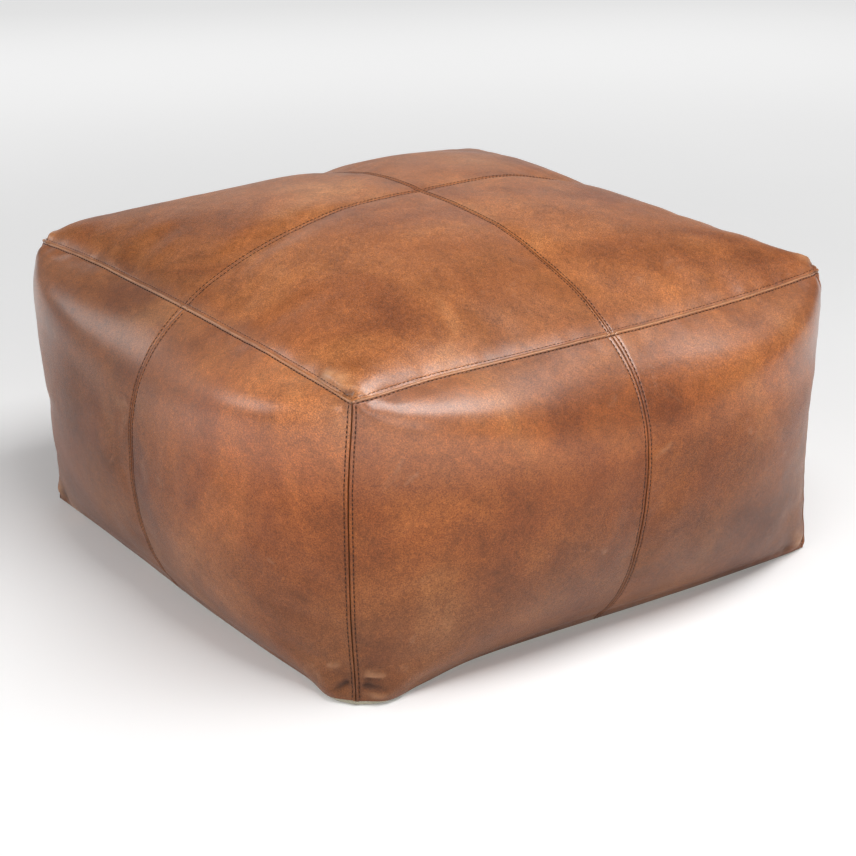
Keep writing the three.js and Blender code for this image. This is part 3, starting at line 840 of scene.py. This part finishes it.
STITCH_PITCH = 5.5 * MM
STITCH_LENGTH = 4.2 * MM
THREAD_RADIUS = 0.65 * MM
EDGE_THREAD_RADIUS = 0.95 * MM    # the row under the top edge has longer pulled holes
EDGE_SLANT = 0.5
UPPER_THREAD_RADIUS = 0.32 * MM  # the row above it is sunk in the leather
THREAD_SIDES = 6
STITCH_ENDS = 3.0 * MM           # a row stops this far from the seam that it would cross
ROW_POINTS = 500                 # where a row's length is measured
# Along a stitch, from its middle: the place, its height over the leather and its thickness.
STITCH_RINGS = ((-0.5, -1.0, 0.7), (-0.36, 0.0, 1.0), (0.0, 0.5, 1.1), (0.36, 0.0, 1.0), (0.5, -1.0, 0.7))


def stitch_mesh(centres, along, out, rng, length=STITCH_LENGTH, radius=THREAD_RADIUS, slant=0.0):
    """The points and faces of many short stitches. Each dives into the leather at its ends."""
    count = len(centres)
    across = unit(np.cross(out, along))
    lean = rng.normal(slant, 0.08, (count, 1))
    along = unit(along + across * lean)
    across = unit(np.cross(out, along))
    scale = rng.normal(1, 0.06, (count, 1))
    rings = []
    for place, height, thickness in STITCH_RINGS:
        centre = centres + along * (place * length * scale) + out * (height * radius)
        for k in range(THREAD_SIDES):
            angle = 2 * math.pi * k / THREAD_SIDES
            spoke = across * math.cos(angle) + out * math.sin(angle)
            rings.append(centre + spoke * radius * thickness)
    points = np.stack(rings, 1).reshape(-1, 3)
    size = len(STITCH_RINGS) * THREAD_SIDES
    one = []
    for ring in range(len(STITCH_RINGS) - 1):
        for k in range(THREAD_SIDES):
            a = ring * THREAD_SIDES + k
            b = ring * THREAD_SIDES + (k + 1) % THREAD_SIDES
            one.append([a, b, b + THREAD_SIDES, a + THREAD_SIDES])
    last = (len(STITCH_RINGS) - 1) * THREAD_SIDES
    caps = [list(range(THREAD_SIDES))[::-1], [last + k for k in range(THREAD_SIDES)]]
    faces = [[i + n * size for i in face] for n in range(count) for face in one + caps]
    return points, faces


def even_steps(points, pitch):
    """Places along a line of points, a pitch apart, as shares of the index."""
    lengths = np.concatenate([[0], np.cumsum(np.linalg.norm(np.diff(points, axis=0), axis=1))])
    count = max(int(lengths[-1] / pitch), 1)
    wanted = (np.arange(count) + 0.5) * lengths[-1] / count
    return np.interp(wanted, lengths, np.arange(len(points)))


def stitch_row(node, face, axis, sign, side, ends, material, rng):
    """One row, beside the seam where axis is sign, on the side of it given by side."""
    def beside(t):
        return sign + side * row_offset(face, axis, sign, t) / speed_at(face, axis, sign, t)

    def cover_at(across, t):
        return cover_points(face, *((across, t) if axis == "u" else (t, across)))

    t = np.linspace(*ends, ROW_POINTS)
    line = cover_at(beside(t), t)[0]
    t = np.interp(even_steps(line, STITCH_PITCH), np.arange(len(t)), t)
    centres, out, _ = cover_at(beside(t), t)
    ahead = cover_at(beside(t), t + STEP)[0]
    slant, radius = 0.0, THREAD_RADIUS
    if face in SIDES and axis == "v":
        slant, radius = EDGE_SLANT, EDGE_THREAD_RADIUS
    elif face == "top" and sign != 0:
        radius = UPPER_THREAD_RADIUS
    points, faces = stitch_mesh(centres, unit(ahead - centres), out, rng, radius=radius, slant=slant)
    add_piece("sewn_" + node, points, faces, node, material)


def trimmed(low, high, size, low_cut=STITCH_ENDS, high_cut=STITCH_ENDS):
    return low + low_cut / size, high - high_cut / size


def cover_rows():
    """(node, face, axis, sign, side, ends) of every row of stitches on the leather."""
    past_row = ROW_OFFSET + STITCH_ENDS
    rows = []
    for name, side in (("left", -1), ("right", 1)):
        rows.append((f"top_long_seam_thread_{name}", "top", "u", 0, side, trimmed(-1, 1, HALF_TOP)))
    halves = {"left": trimmed(-1, 0, HALF_TOP, high_cut=past_row), "right": trimmed(0, 1, HALF_TOP, past_row)}
    for name, ends in halves.items():
        for row, row_side in (("front", -1), ("back", 1)):
            rows.append((f"top_cross_seam_thread_{name}_{row}", "top", "v", 0, row_side, ends))
    for name, axis, sign in (("front", "v", -1), ("right", "u", 1), ("back", "v", 1), ("left", "u", -1)):
        ends = trimmed(-1, 1, HALF_TOP, ROW_OFFSET, ROW_OFFSET)
        rows.append((f"top_edge_thread_{name}_upper", "top", axis, sign, -sign, ends))
        rows.append((f"top_edge_thread_{name}_lower", name, "v", 1, -1, ends))
    for name in SIDES:
        ends = trimmed(-1, 1, SEAM_HEIGHT / 2, high_cut=ROW_OFFSET)
        for row, side in (("first", -1), ("second", 1)):
            rows.append((f"{name}_seam_thread_{row}", name, "u", 0, side, ends))
        for row, sign in (("first", -1), ("second", 1)):
            rows.append((f"{name}_corner_thread_{row}", name, "u", sign, -sign, ends))
    return rows


# ---- Canvas base ----

SLOT_HALF = 11.0 * MM            # the opening over the zip, as in the CAD
SLOT_END = 282.0 * MM
SLOT_STEP = 1.5 * MM
BASE_COLUMNS = 140
BASE_EDGE_LINES = (0.3, 0.8, 1.6, 2.6, 4.0, 6.0, 9.0, 13.0, 18.0)
BASE_ROWS = 60
HEM_HEIGHT = 0.54 * MM           # the folded canvas along the zip stands this much lower
HEM_WIDTH = 5.0 * MM
HEM_FLAT = 0.6                   # the share of its width that is level


def base_panel(node, side, material):
    """One half of the canvas base. side is -1 at the front and 1 at the back."""
    edge = 1 - np.array(BASE_EDGE_LINES) * MM / HALF_BASE
    plain = np.linspace(-edge[-1], edge[-1], BASE_COLUMNS)[1:-1]
    slot_ends = np.array([SLOT_END - SLOT_STEP, SLOT_END, SLOT_END + SLOT_STEP]) / HALF_BASE
    u = np.sort(np.concatenate([-edge, edge, plain, -slot_ends, slot_ends]))
    share = smoothstep((np.abs(u) * HALF_BASE - SLOT_END + SLOT_STEP / 2) / SLOT_STEP)
    inner = (SLOT_HALF * (1 - share) + PANEL_GAP * share) / HALF_BASE
    across = np.linspace(0, 1, BASE_ROWS) ** 1.5
    steps = inner[None] + (edge[-1] - inner[None]) * across[:, None]
    borders = np.repeat(edge[::-1][1:, None], len(u), 1)
    v = side * np.concatenate([steps, borders])
    u = np.repeat(u[None], len(v), 0)
    points, out, _ = cover_points("base", u, v)
    from_slot = np.abs(points[..., 1]) - inner[None] * HALF_BASE
    hem = HEM_HEIGHT * (1 - smoothstep(from_slot / HEM_WIDTH - HEM_FLAT))
    outer = points + out * (hem * (1 - share[None]))[..., None]
    upper = outer - out * CANVAS
    faces = grid_faces(*u.shape)
    if side > 0:
        faces = faces[:, ::-1]
    points, faces = shell(outer.reshape(-1, 3), upper.reshape(-1, 3), faces)
    add_piece("cover_" + node, points, faces, node, material)


ZIP_ROW_OFFSET = 3.5 * MM
ZIP_STITCH_PITCH = 3.4 * MM
ZIP_STITCH_LENGTH = 2.7 * MM
ZIP_STITCH_RISE = 0.35 * MM
ZIP_THREAD_RADIUS = 0.4 * MM


def zip_row(node, side, material, rng):
    half = SLOT_END - 1.5 * MM
    count = int(2 * half / ZIP_STITCH_PITCH)
    x = (np.arange(count) + 0.5) / count * 2 * half - half
    u, v = x / HALF_BASE, np.full(count, side * (SLOT_HALF + ZIP_ROW_OFFSET) / HALF_BASE)
    centres, out, _ = cover_points("base", u, v)
    centres = centres + out * ZIP_STITCH_RISE
    along = np.repeat([[1.0, 0, 0]], count, 0)
    points, faces = stitch_mesh(centres, along, out, rng, ZIP_STITCH_LENGTH, ZIP_THREAD_RADIUS)
    add_piece("sewn_" + node, points, faces, node, material)


# ---- Zip ----

COIL_PITCH = 1.5 * MM
COIL_WIRE = 0.33 * MM
COIL_REACH = 0.25 * MM           # its loops reach this far between the other coil's
COIL_STEPS = 10
COIL_WIRE_SIDES = 5


def zip_coil(node, side, material):
    """A wound nylon coil. The two coils' loops lie between each other along the zip's middle."""
    low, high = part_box(node)
    middle_y = (low.y + high.y) / 2 - side * COIL_REACH
    middle_z = (low.z + high.z) / 2
    radius_y = (high.y - low.y) / 2 - COIL_WIRE + COIL_REACH
    radius_z = (high.z - low.z) / 2 - COIL_WIRE
    length = high.x - low.x - 2 * COIL_WIRE
    turns = int(length / COIL_PITCH)
    angle = np.linspace(0, 2 * math.pi * turns, turns * COIL_STEPS + 1)
    phase = math.pi if side > 0 else 0
    x = low.x + COIL_WIRE + angle / (2 * math.pi * turns) * length
    middle = np.stack([x, np.full_like(x, middle_y), np.full_like(x, middle_z)], -1)
    swing = np.stack([np.zeros_like(x), radius_y * np.cos(angle + phase), radius_z * np.sin(angle)], -1)
    centre = middle + swing
    forward = unit(np.gradient(centre, axis=0))
    away = unit(swing)
    third = unit(np.cross(forward, away))
    rings = []
    for k in range(COIL_WIRE_SIDES):
        turn = 2 * math.pi * k / COIL_WIRE_SIDES
        rings.append(centre + (away * math.cos(turn) + third * math.sin(turn)) * COIL_WIRE)
    points = np.stack(rings, 1).reshape(-1, 3)
    index = np.arange(len(points)).reshape(-1, COIL_WIRE_SIDES)
    after = np.roll(index, -1, 1)
    quads = np.stack([index[:-1], after[:-1], after[1:], index[1:]], -1).reshape(-1, 4)
    faces = [list(q) for q in quads] + [list(index[0][::-1]), list(index[-1])]
    add_piece("wound_" + node, points, faces, node, material)


# ---- Inside ----

CREASE_SIZE, CREASE_HEIGHT = 45.0 * MM, 0.8 * MM
LUMPS = ((60.0 * MM, 6.0 * MM), (24.0 * MM, 2.0 * MM))
FILLING_SLACK = 1.5 * MM


def inner_bag(material):
    points, outs, faces = welded_skin(*smooth_skin(LINING_LINES, BAG_DEPTH, mouth=True))
    creases = CREASE_HEIGHT * (1 + noise(points / CREASE_SIZE))
    outer = points - outs * creases[:, None]
    points, faces = shell(outer, outer - outs * BAG_CLOTH, faces)
    piece = add_piece("sewn_inner_bag", points, faces, "inner_bag", material)


def filling(material):
    points, outs, faces = welded_skin(*smooth_skin(LINING_LINES, FILLING_DEPTH))
    lumps = sum(height * np.abs(noise(points / size)) for size, height in LUMPS)
    points = points - outs * (FILLING_SLACK + lumps)[:, None]
    piece = add_piece("loose_filling", points, faces, "filling", material)


# ---- Materials ----

def srgb(red, green, blue):
    """A display colour from 0 to 255, as a linear colour for a shader."""
    values = (c / 255 for c in (red, green, blue))
    return tuple(c / 12.92 if c <= 0.04045 else ((c + 0.055) / 1.055) ** 2.4 for c in values) + (1.0,)


class Nodes:
    """A material with a Principled shader, and short calls for the nodes that feed it."""

    def __init__(self, name, **sockets):
        self.material = bpy.data.materials.new(name)
        self.material.use_nodes = True
        self.tree = self.material.node_tree
        self.shader = self.tree.nodes["Principled BSDF"]
        self.place = self.tree.nodes.new("ShaderNodeTexCoord").outputs["Object"]
        for socket, value in sockets.items():
            self.shader.inputs[socket.replace("_", " ")].default_value = value

    def link(self, source, target):
        self.tree.links.new(source, target)

    def moved(self, location=(0, 0, 0), rotation=(0, 0, 0), scale=(1, 1, 1)):
        node = self.tree.nodes.new("ShaderNodeMapping")
        node.inputs["Location"].default_value = location
        node.inputs["Rotation"].default_value = rotation
        node.inputs["Scale"].default_value = scale
        self.link(self.place, node.inputs["Vector"])
        return node.outputs[0]

    def noise(self, scale, detail=3.0, roughness=0.5, distortion=0.0, place=None):
        node = self.tree.nodes.new("ShaderNodeTexNoise")
        node.inputs["Scale"].default_value = scale
        node.inputs["Detail"].default_value = detail
        node.inputs["Roughness"].default_value = roughness
        node.inputs["Distortion"].default_value = distortion
        self.link(place or self.place, node.inputs["Vector"])
        return node.outputs["Fac"]

    def cells(self, scale, feature="DISTANCE_TO_EDGE", place=None):
        node = self.tree.nodes.new("ShaderNodeTexVoronoi")
        node.feature = feature
        node.inputs["Scale"].default_value = scale
        self.link(place or self.place, node.inputs["Vector"])
        return node.outputs["Distance"]

    def wave(self, scale, axis, place=None, distortion=0.0):
        node = self.tree.nodes.new("ShaderNodeTexWave")
        node.bands_direction = axis
        node.inputs["Scale"].default_value = scale
        node.inputs["Distortion"].default_value = distortion
        self.link(place or self.place, node.inputs["Vector"])
        return node.outputs["Fac"]

    def attribute(self, name):
        node = self.tree.nodes.new("ShaderNodeAttribute")
        node.attribute_name = name
        return node.outputs["Fac"]

    def spread(self, value, low, high, to_low=0.0, to_high=1.0, smooth=False):
        node = self.tree.nodes.new("ShaderNodeMapRange")
        node.interpolation_type = "SMOOTHSTEP" if smooth else "LINEAR"
        ends = {"From Min": low, "From Max": high, "To Min": to_low, "To Max": to_high}
        for socket, number in ends.items():
            node.inputs[socket].default_value = number
        self.link(value, node.inputs["Value"])
        return node.outputs["Result"]

    def ramp(self, value, stops):
        node = self.tree.nodes.new("ShaderNodeValToRGB")
        ramp = node.color_ramp
        while len(ramp.elements) < len(stops):
            ramp.elements.new(0.5)
        for element, (position, colour) in zip(ramp.elements, stops):
            element.position = position
            element.color = colour
        self.link(value, node.inputs["Fac"])
        return node.outputs["Color"]

    def mix(self, share, first, second, blend="MIX"):
        node = self.tree.nodes.new("ShaderNodeMix")
        node.data_type = "RGBA"
        node.blend_type = blend
        colours = [s for s in node.inputs if s.type == "RGBA"]
        factor = next(s for s in node.inputs if s.type == "VALUE")
        for value, socket in ((share, factor), (first, colours[0]), (second, colours[1])):
            if isinstance(value, (int, float, tuple)):
                socket.default_value = value
            else:
                self.link(value, socket)
        return next(s for s in node.outputs if s.type == "RGBA")

    def math(self, operation, first, second):
        node = self.tree.nodes.new("ShaderNodeMath")
        node.operation = operation
        for value, socket in ((first, node.inputs[0]), (second, node.inputs[1])):
            if isinstance(value, (int, float)):
                socket.default_value = value
            else:
                self.link(value, socket)
        return node.outputs[0]

    def height(self, place, axis="Z"):
        node = self.tree.nodes.new("ShaderNodeSeparateXYZ")
        self.link(place, node.inputs[0])
        return node.outputs[axis]

    def length(self, place):
        node = self.tree.nodes.new("ShaderNodeVectorMath")
        node.operation = "LENGTH"
        self.link(place, node.inputs[0])
        return node.outputs["Value"]

    def colour(self, value):
        self.link(value, self.shader.inputs["Base Color"])

    def roughness(self, value):
        self.link(value, self.shader.inputs["Roughness"])

    def toned(self, tone, dark, light, rough):
        """Sets the colour and the roughness from one pattern. rough has their two ends."""
        self.colour(self.ramp(tone, ((0.3, dark), (0.7, light))))
        self.roughness(self.spread(tone, 0.3, 0.7, *rough))

    def bump(self, value, strength, distance, before=None):
        node = self.tree.nodes.new("ShaderNodeBump")
        node.inputs["Strength"].default_value = strength
        node.inputs["Distance"].default_value = distance
        self.link(value, node.inputs["Height"])
        if before is not None:
            self.link(before, node.inputs["Normal"])
        self.link(node.outputs[0], self.shader.inputs["Normal"])
        return node.outputs[0]


LEATHER_STOPS = (
    (0.30, srgb(130, 78, 46)),
    (0.44, srgb(152, 96, 57)),
    (0.57, srgb(170, 112, 68)),
    (0.72, srgb(188, 134, 90)),
)
# For each size of spot: its strength, the noise's settings and ends, and its two colours.
LEATHER_SPOTS = (
    (0.45, (24, 8.0, 0.75, 0.6), (0.34, 0.66), srgb(138, 132, 128), srgb(222, 218, 214)),
    (0.42, (150, 7.0, 0.85, 0.3), (0.30, 0.70), srgb(104, 96, 90), srgb(238, 232, 226)),
    (0.62, (620, 3.0, 0.8, 0.0), (0.36, 0.64), srgb(108, 88, 74), srgb(232, 222, 208)),
)
SHINE_FROM = (0.23, 0.33)        # the heights between which the sides begin to shine
SHINE_TO = (SEAM_HEIGHT, SEAM_HEIGHT + 0.016)
WARM_SIDES = (1.02, 0.86, 0.62, 1.0)     # the middles of the sides are more orange


def leather(name, shift):
    """Waxed, pulled-up leather. shift moves the pattern, so that each panel is its own cut of hide."""
    made = Nodes(name, Coat_Roughness=0.30)
    place = made.moved(shift, (0.2 * shift[0], 0.3 * shift[1], 0.4 * shift[2]))
    clouds = made.noise(6.0, 6.0, 0.6, 0.5, place)
    colour = made.ramp(clouds, LEATHER_STOPS)
    # Mottling, then patches, then fine specks.
    for share, settings, ends, dark, light in LEATHER_SPOTS:
        specks = made.spread(made.noise(*settings, place), *ends)
        spotted = made.ramp(specks, ((0.0, dark), (1.0, light)))
        colour = made.mix(share, colour, spotted, "OVERLAY")
    # Painted light and shade: the colour is multiplied by a share stored on the mesh.
    colour = made.mix(1.0, colour, made.attribute("lightness"), "MULTIPLY")
    reddish = made.spread(made.noise(3.1, 3.0, 0.5, 0.3, place), 0.50, 0.72, 0.0, 0.40, True)
    colour = made.mix(reddish, colour, srgb(150, 84, 50))
    # Painted shade: the leather turns darker and browner towards the floor.
    low = made.spread(made.height(made.place), 0.02, 0.22, 0.25, 0.0, True)
    colour = made.mix(low, colour, srgb(114, 68, 46))
    above = made.spread(made.height(made.place), 0.08, 0.20, 0.15, 1.0, True)
    below = made.spread(made.height(made.place), 0.30, 0.36, 1.0, 0.15, True)
    colour = made.mix(made.math("MULTIPLY", above, below), colour, WARM_SIDES, "MULTIPLY")
    scuffs = made.spread(made.noise(9, 7.0, 0.75, 2.0, place), 0.60, 0.76, 0.0, 0.35, True)
    colour = made.mix(scuffs, colour, srgb(190, 142, 110))
    # A painted highlight, with some wear, on the ridges of the top edge and on the folds' crests.
    patches = made.spread(made.noise(40, 3.0, 0.6, 0.5), 0.35, 0.6, 0.55, 1.0)
    colour = made.mix(made.math("MULTIPLY", made.attribute("ridge"), patches), colour, srgb(226, 170, 126))
    # Painted shade along the rows of stitches.
    colour = made.mix(made.math("MULTIPLY", made.attribute("row"), 0.6), colour, srgb(74, 40, 24))
    # Painted shade in the seams' grooves and the folds' grooves.
    colour = made.mix(made.math("MULTIPLY", made.attribute("groove"), 0.85), colour, srgb(52, 28, 16))
    made.colour(colour)
    smears = made.noise(7, 4.0, 0.6, 1.0, place)
    pores = made.cells(560, place=place)
    smeared = made.spread(smears, 0.3, 0.7, 0.30, 0.42)
    made.roughness(made.math("ADD", smeared, made.spread(pores, 0.0, 0.3, 0.06, 0.0)))
    # The upper sides shine. Lower down the wax has worn off, and the top is rubbed by use.
    shine = made.spread(made.height(made.place), *SHINE_FROM, 0.15, 1.0, True)
    rubbed = made.spread(made.height(made.place), *SHINE_TO, 1.0, 0.2, True)
    shine = made.math("MULTIPLY", shine, rubbed)
    made.link(shine, made.shader.inputs["Coat Weight"])
    made.link(made.spread(shine, 0, 1, 0.22, 0.52), made.shader.inputs["Specular IOR Level"])
    # The finest specks also stand up as grain.
    grain = made.math("ADD", made.spread(pores, 0.0, 0.35, 0.0, 0.6), made.math("MULTIPLY", specks, 0.5))
    fine = made.bump(grain, 0.6, 0.4 * MM)
    made.bump(made.noise(95, 4.0, 0.6, 0.8, place), 0.25, 0.9 * MM, fine)
    return made.material


def thread():
    made = Nodes("waxed_thread", Specular_IOR_Level=0.35)
    made.toned(made.noise(300, 2.0), srgb(34, 18, 12), srgb(68, 40, 27), (0.55, 0.72))
    made.bump(made.wave(900, "DIAGONAL"), 0.5, 0.12 * MM)
    return made.material


def canvas(name, dark, light, pitch, depth):
    """Plain-woven cloth: two sets of ridges, thick and thin threads, and a little soiling."""
    made = Nodes(name, Specular_IOR_Level=0.25, Sheen_Weight=0.25, Sheen_Roughness=0.6)
    per_metre = 1 / (20 * pitch)
    warp = made.wave(per_metre * 2 * math.pi, "X", distortion=0.4)
    weft = made.wave(per_metre * 2 * math.pi, "Y", distortion=0.4)
    woven = made.math("MAXIMUM", warp, weft)
    slub = made.noise(60, 4.0, 0.7, place=made.moved(scale=(1, 7, 1)))
    soil = made.noise(6, 4.0, 0.6, 0.6)
    tone = made.math("ADD", made.math("MULTIPLY", woven, 0.35), made.math("MULTIPLY", slub, 0.5))
    colour = made.ramp(tone, ((0.25, dark), (0.75, light)))
    soiled = made.spread(soil, 0.5, 0.75, 0.0, 0.35, True)
    made.colour(made.mix(soiled, colour, dark))
    made.roughness(made.spread(slub, 0.3, 0.7, 0.82, 0.95))
    made.bump(tone, 0.8, depth)
    return made.material


def tape():
    made = Nodes("zip_tape_weave", Specular_IOR_Level=0.3, Sheen_Weight=0.3)
    herringbone = made.wave(260, "DIAGONAL")
    fibres = made.noise(900, 2.0)
    tone = made.math("ADD", made.math("MULTIPLY", herringbone, 0.6), made.math("MULTIPLY", fibres, 0.4))
    made.colour(made.ramp(tone, ((0.2, srgb(50, 32, 22)), (0.8, srgb(92, 62, 44)))))
    made.roughness(made.spread(fibres, 0.3, 0.7, 0.75, 0.9))
    made.bump(tone, 0.7, 0.25 * MM)
    return made.material


def nylon():
    made = Nodes("zip_nylon", Specular_IOR_Level=0.5)
    made.toned(made.noise(140, 3.0), srgb(58, 38, 27), srgb(84, 58, 42), (0.32, 0.5))
    made.bump(made.noise(700, 2.0), 0.2, 0.1 * MM)
    return made.material


def brass():
    """Aged metal for the zip's slider, pull and stops, rubbed brighter in patches."""
    made = Nodes("aged_metal", Metallic=1.0)
    lightness = made.noise(120, 5.0, 0.6, 0.8)
    stops = ((0.3, srgb(112, 82, 48)), (0.55, srgb(168, 130, 80)), (0.75, srgb(204, 170, 118)))
    made.colour(made.ramp(lightness, stops))
    made.roughness(made.spread(lightness, 0.3, 0.7, 0.5, 0.26))
    scratches = made.noise(260, 3.0, 0.6, place=made.moved(scale=(1, 14, 4)))
    made.bump(scratches, 0.25, 0.1 * MM)
    return made.material


def wadding():
    made = Nodes("cotton_wadding", Sheen_Weight=0.5, Sheen_Roughness=0.8, Specular_IOR_Level=0.15)
    tufts = made.noise(60, 8.0, 0.75, 1.5)
    made.toned(tufts, srgb(196, 184, 160), srgb(240, 234, 218), (0.88, 1.0))
    made.bump(tufts, 0.9, 2.0 * MM)
    return made.material


# ---- Build ----

simulate_wrinkles()

rng = np.random.default_rng(41)

for node, place in PANELS.items():
    shift = tuple(rng.uniform(-4, 4, 3))
    leather_panel(node, *place, leather("leather_" + node, shift))

thread_material = thread()
for row in cover_rows():
    stitch_row(*row, thread_material, rng)

canvas_material = canvas("base_canvas_weave", srgb(132, 124, 102), srgb(196, 190, 168), 0.9 * MM, 0.3 * MM)
for node, side in (("base_panel_front", -1), ("base_panel_back", 1)):
    base_panel(node, side, canvas_material)
nylon_material = nylon()
for name, side in (("front", -1), ("back", 1)):
    zip_row(f"zip_seam_thread_{name}", side, thread_material, rng)
    zip_coil(f"zip_coil_{name}", side, nylon_material)

inner_bag(canvas("bag_cotton_weave", srgb(206, 196, 172), srgb(238, 232, 214), 0.6 * MM, 0.2 * MM))
filling(wadding())

METAL_BEVEL = 0.35 * MM
TAPE_BEVEL = 0.15 * MM
metal = brass()
kept_nodes = {
    "zip_stop_left": (metal, METAL_BEVEL),
    "zip_stop_right": (metal, METAL_BEVEL),
    "zip_slider": (metal, METAL_BEVEL),
    "zip_pull": (metal, METAL_BEVEL),
    "zip_tape_front": (tape(), TAPE_BEVEL),
    "zip_tape_back": (tape(), TAPE_BEVEL),
}
for node, (material, width) in kept_nodes.items():
    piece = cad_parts[node]
    piece.data.materials.clear()
    piece.data.materials.append(material)
    bevel = piece.modifiers.new("rounded", "BEVEL")
    bevel.width = width
    bevel.segments = 3
    bevel.limit_method = "ANGLE"


# ---- Stage, light and camera ----

FLOOR_HALF = 30.0
FLOOR_GAP = 0.5 * MM             # it lies just under the pouf
FLOOR_COLOURS = ((0.86, 0.86, 0.86, 1), (0.90, 0.90, 0.90, 1))
FLOOR_GLOW = (0.12, 0.55)        # the floor is a little bright by itself, near the pouf and far away
FLOOR_GLOW_FROM = 0.8
FLOOR_GLOW_TO = 3.5


def floor():
    made = Nodes("pale_floor", Specular_IOR_Level=0.15)
    made.toned(made.noise(0.7, 3.0), *FLOOR_COLOURS, (0.85, 0.95))
    made.shader.inputs["Emission Color"].default_value = (1, 1, 1, 1)
    glow = made.spread(made.length(made.place), FLOOR_GLOW_FROM, FLOOR_GLOW_TO, *FLOOR_GLOW, True)
    made.link(glow, made.shader.inputs["Emission Strength"])
    corners = [(x * FLOOR_HALF, y * FLOOR_HALF, 0) for x, y in ((-1, -1), (1, -1), (1, 1), (-1, 1))]
    plane = linked("floor", new_mesh("floor", corners, [(0, 1, 2, 3)]))
    plane.data.materials.append(made.material)
    plane.location.z = -FLOOR_GAP


LIGHT_TARGET = (0, 0, 0.2)
# Each light's name, direction, distance, width, height and power, and what its width lies along.
LIGHTS = (
    ("key", (0.09, -0.40, 0.87), 2.6, 2.3, 1.2, 65, (1, 0, 0)),
    ("rear", (0.45, 0.85, 0.35), 3.2, 3.0, 1.0, 8),
    ("back_left", (-0.68, 0.60, 0.42), 3.0, 1.3, 0.9, 12),
    ("left", (-0.85, -0.35, 0.45), 3.4, 1.6, 1.6, 19),
    ("front", (-0.35, -0.85, 0.35), 3.4, 1.6, 1.6, 18),
)
WORLD_STRENGTH = 0.12


def softbox(name, direction, distance, width, height, power, along=None):
    """A lamp of this size that faces the pouf. Its width is level, or lies along a given direction."""
    light = bpy.data.lights.new(name, "AREA")
    light.shape = "RECTANGLE"
    light.size, light.size_y = width, height
    light.energy = power
    lamp = linked(name, light)
    towards = Vector(direction).normalized()
    lamp.location = Vector(LIGHT_TARGET) + towards * distance
    lamp.rotation_mode = "QUATERNION"
    if along is None:
        lamp.rotation_quaternion = towards.to_track_quat("Z", "Y")
    else:
        across = Vector(along) - towards * towards.dot(Vector(along))
        across.normalize()
        axes = Matrix((across, towards.cross(across), towards)).transposed()
        lamp.rotation_quaternion = axes.to_quaternion()


def turned_back(azimuth, elevation):
    """The direction from the object to a camera at this azimuth and elevation, in degrees."""
    a, e = math.radians(azimuth), math.radians(elevation)
    return Vector((math.sin(a) * math.cos(e), -math.cos(a) * math.cos(e), math.sin(e)))


CAMERA_AZIMUTH = -36.163
CAMERA_ELEVATION = 22.190
CAMERA_DISTANCE = 2.5779
CAMERA_TARGET = (-0.0954, -0.1461, 0.2042)
LENS = 90.34
SENSOR = 36.0

floor()
for light in LIGHTS:
    softbox(*light)

world = bpy.data.worlds.new("studio")
world.use_nodes = True
background = world.node_tree.nodes["Background"]
background.inputs["Color"].default_value = (1, 1, 1, 1)
background.inputs["Strength"].default_value = WORLD_STRENGTH
bpy.context.scene.world = world
bpy.context.scene.view_settings.view_transform = "Standard"

camera_data = bpy.data.cameras.new("camera")
camera_data.lens = LENS
camera_data.sensor_width = SENSOR
camera_data.dof.use_dof = False
camera = linked("camera", camera_data)
back = turned_back(CAMERA_AZIMUTH, CAMERA_ELEVATION)
camera.location = Vector(CAMERA_TARGET) + back * CAMERA_DISTANCE
camera.rotation_mode = "QUATERNION"
camera.rotation_quaternion = back.to_track_quat("Z", "Y")
bpy.context.scene.camera = camera
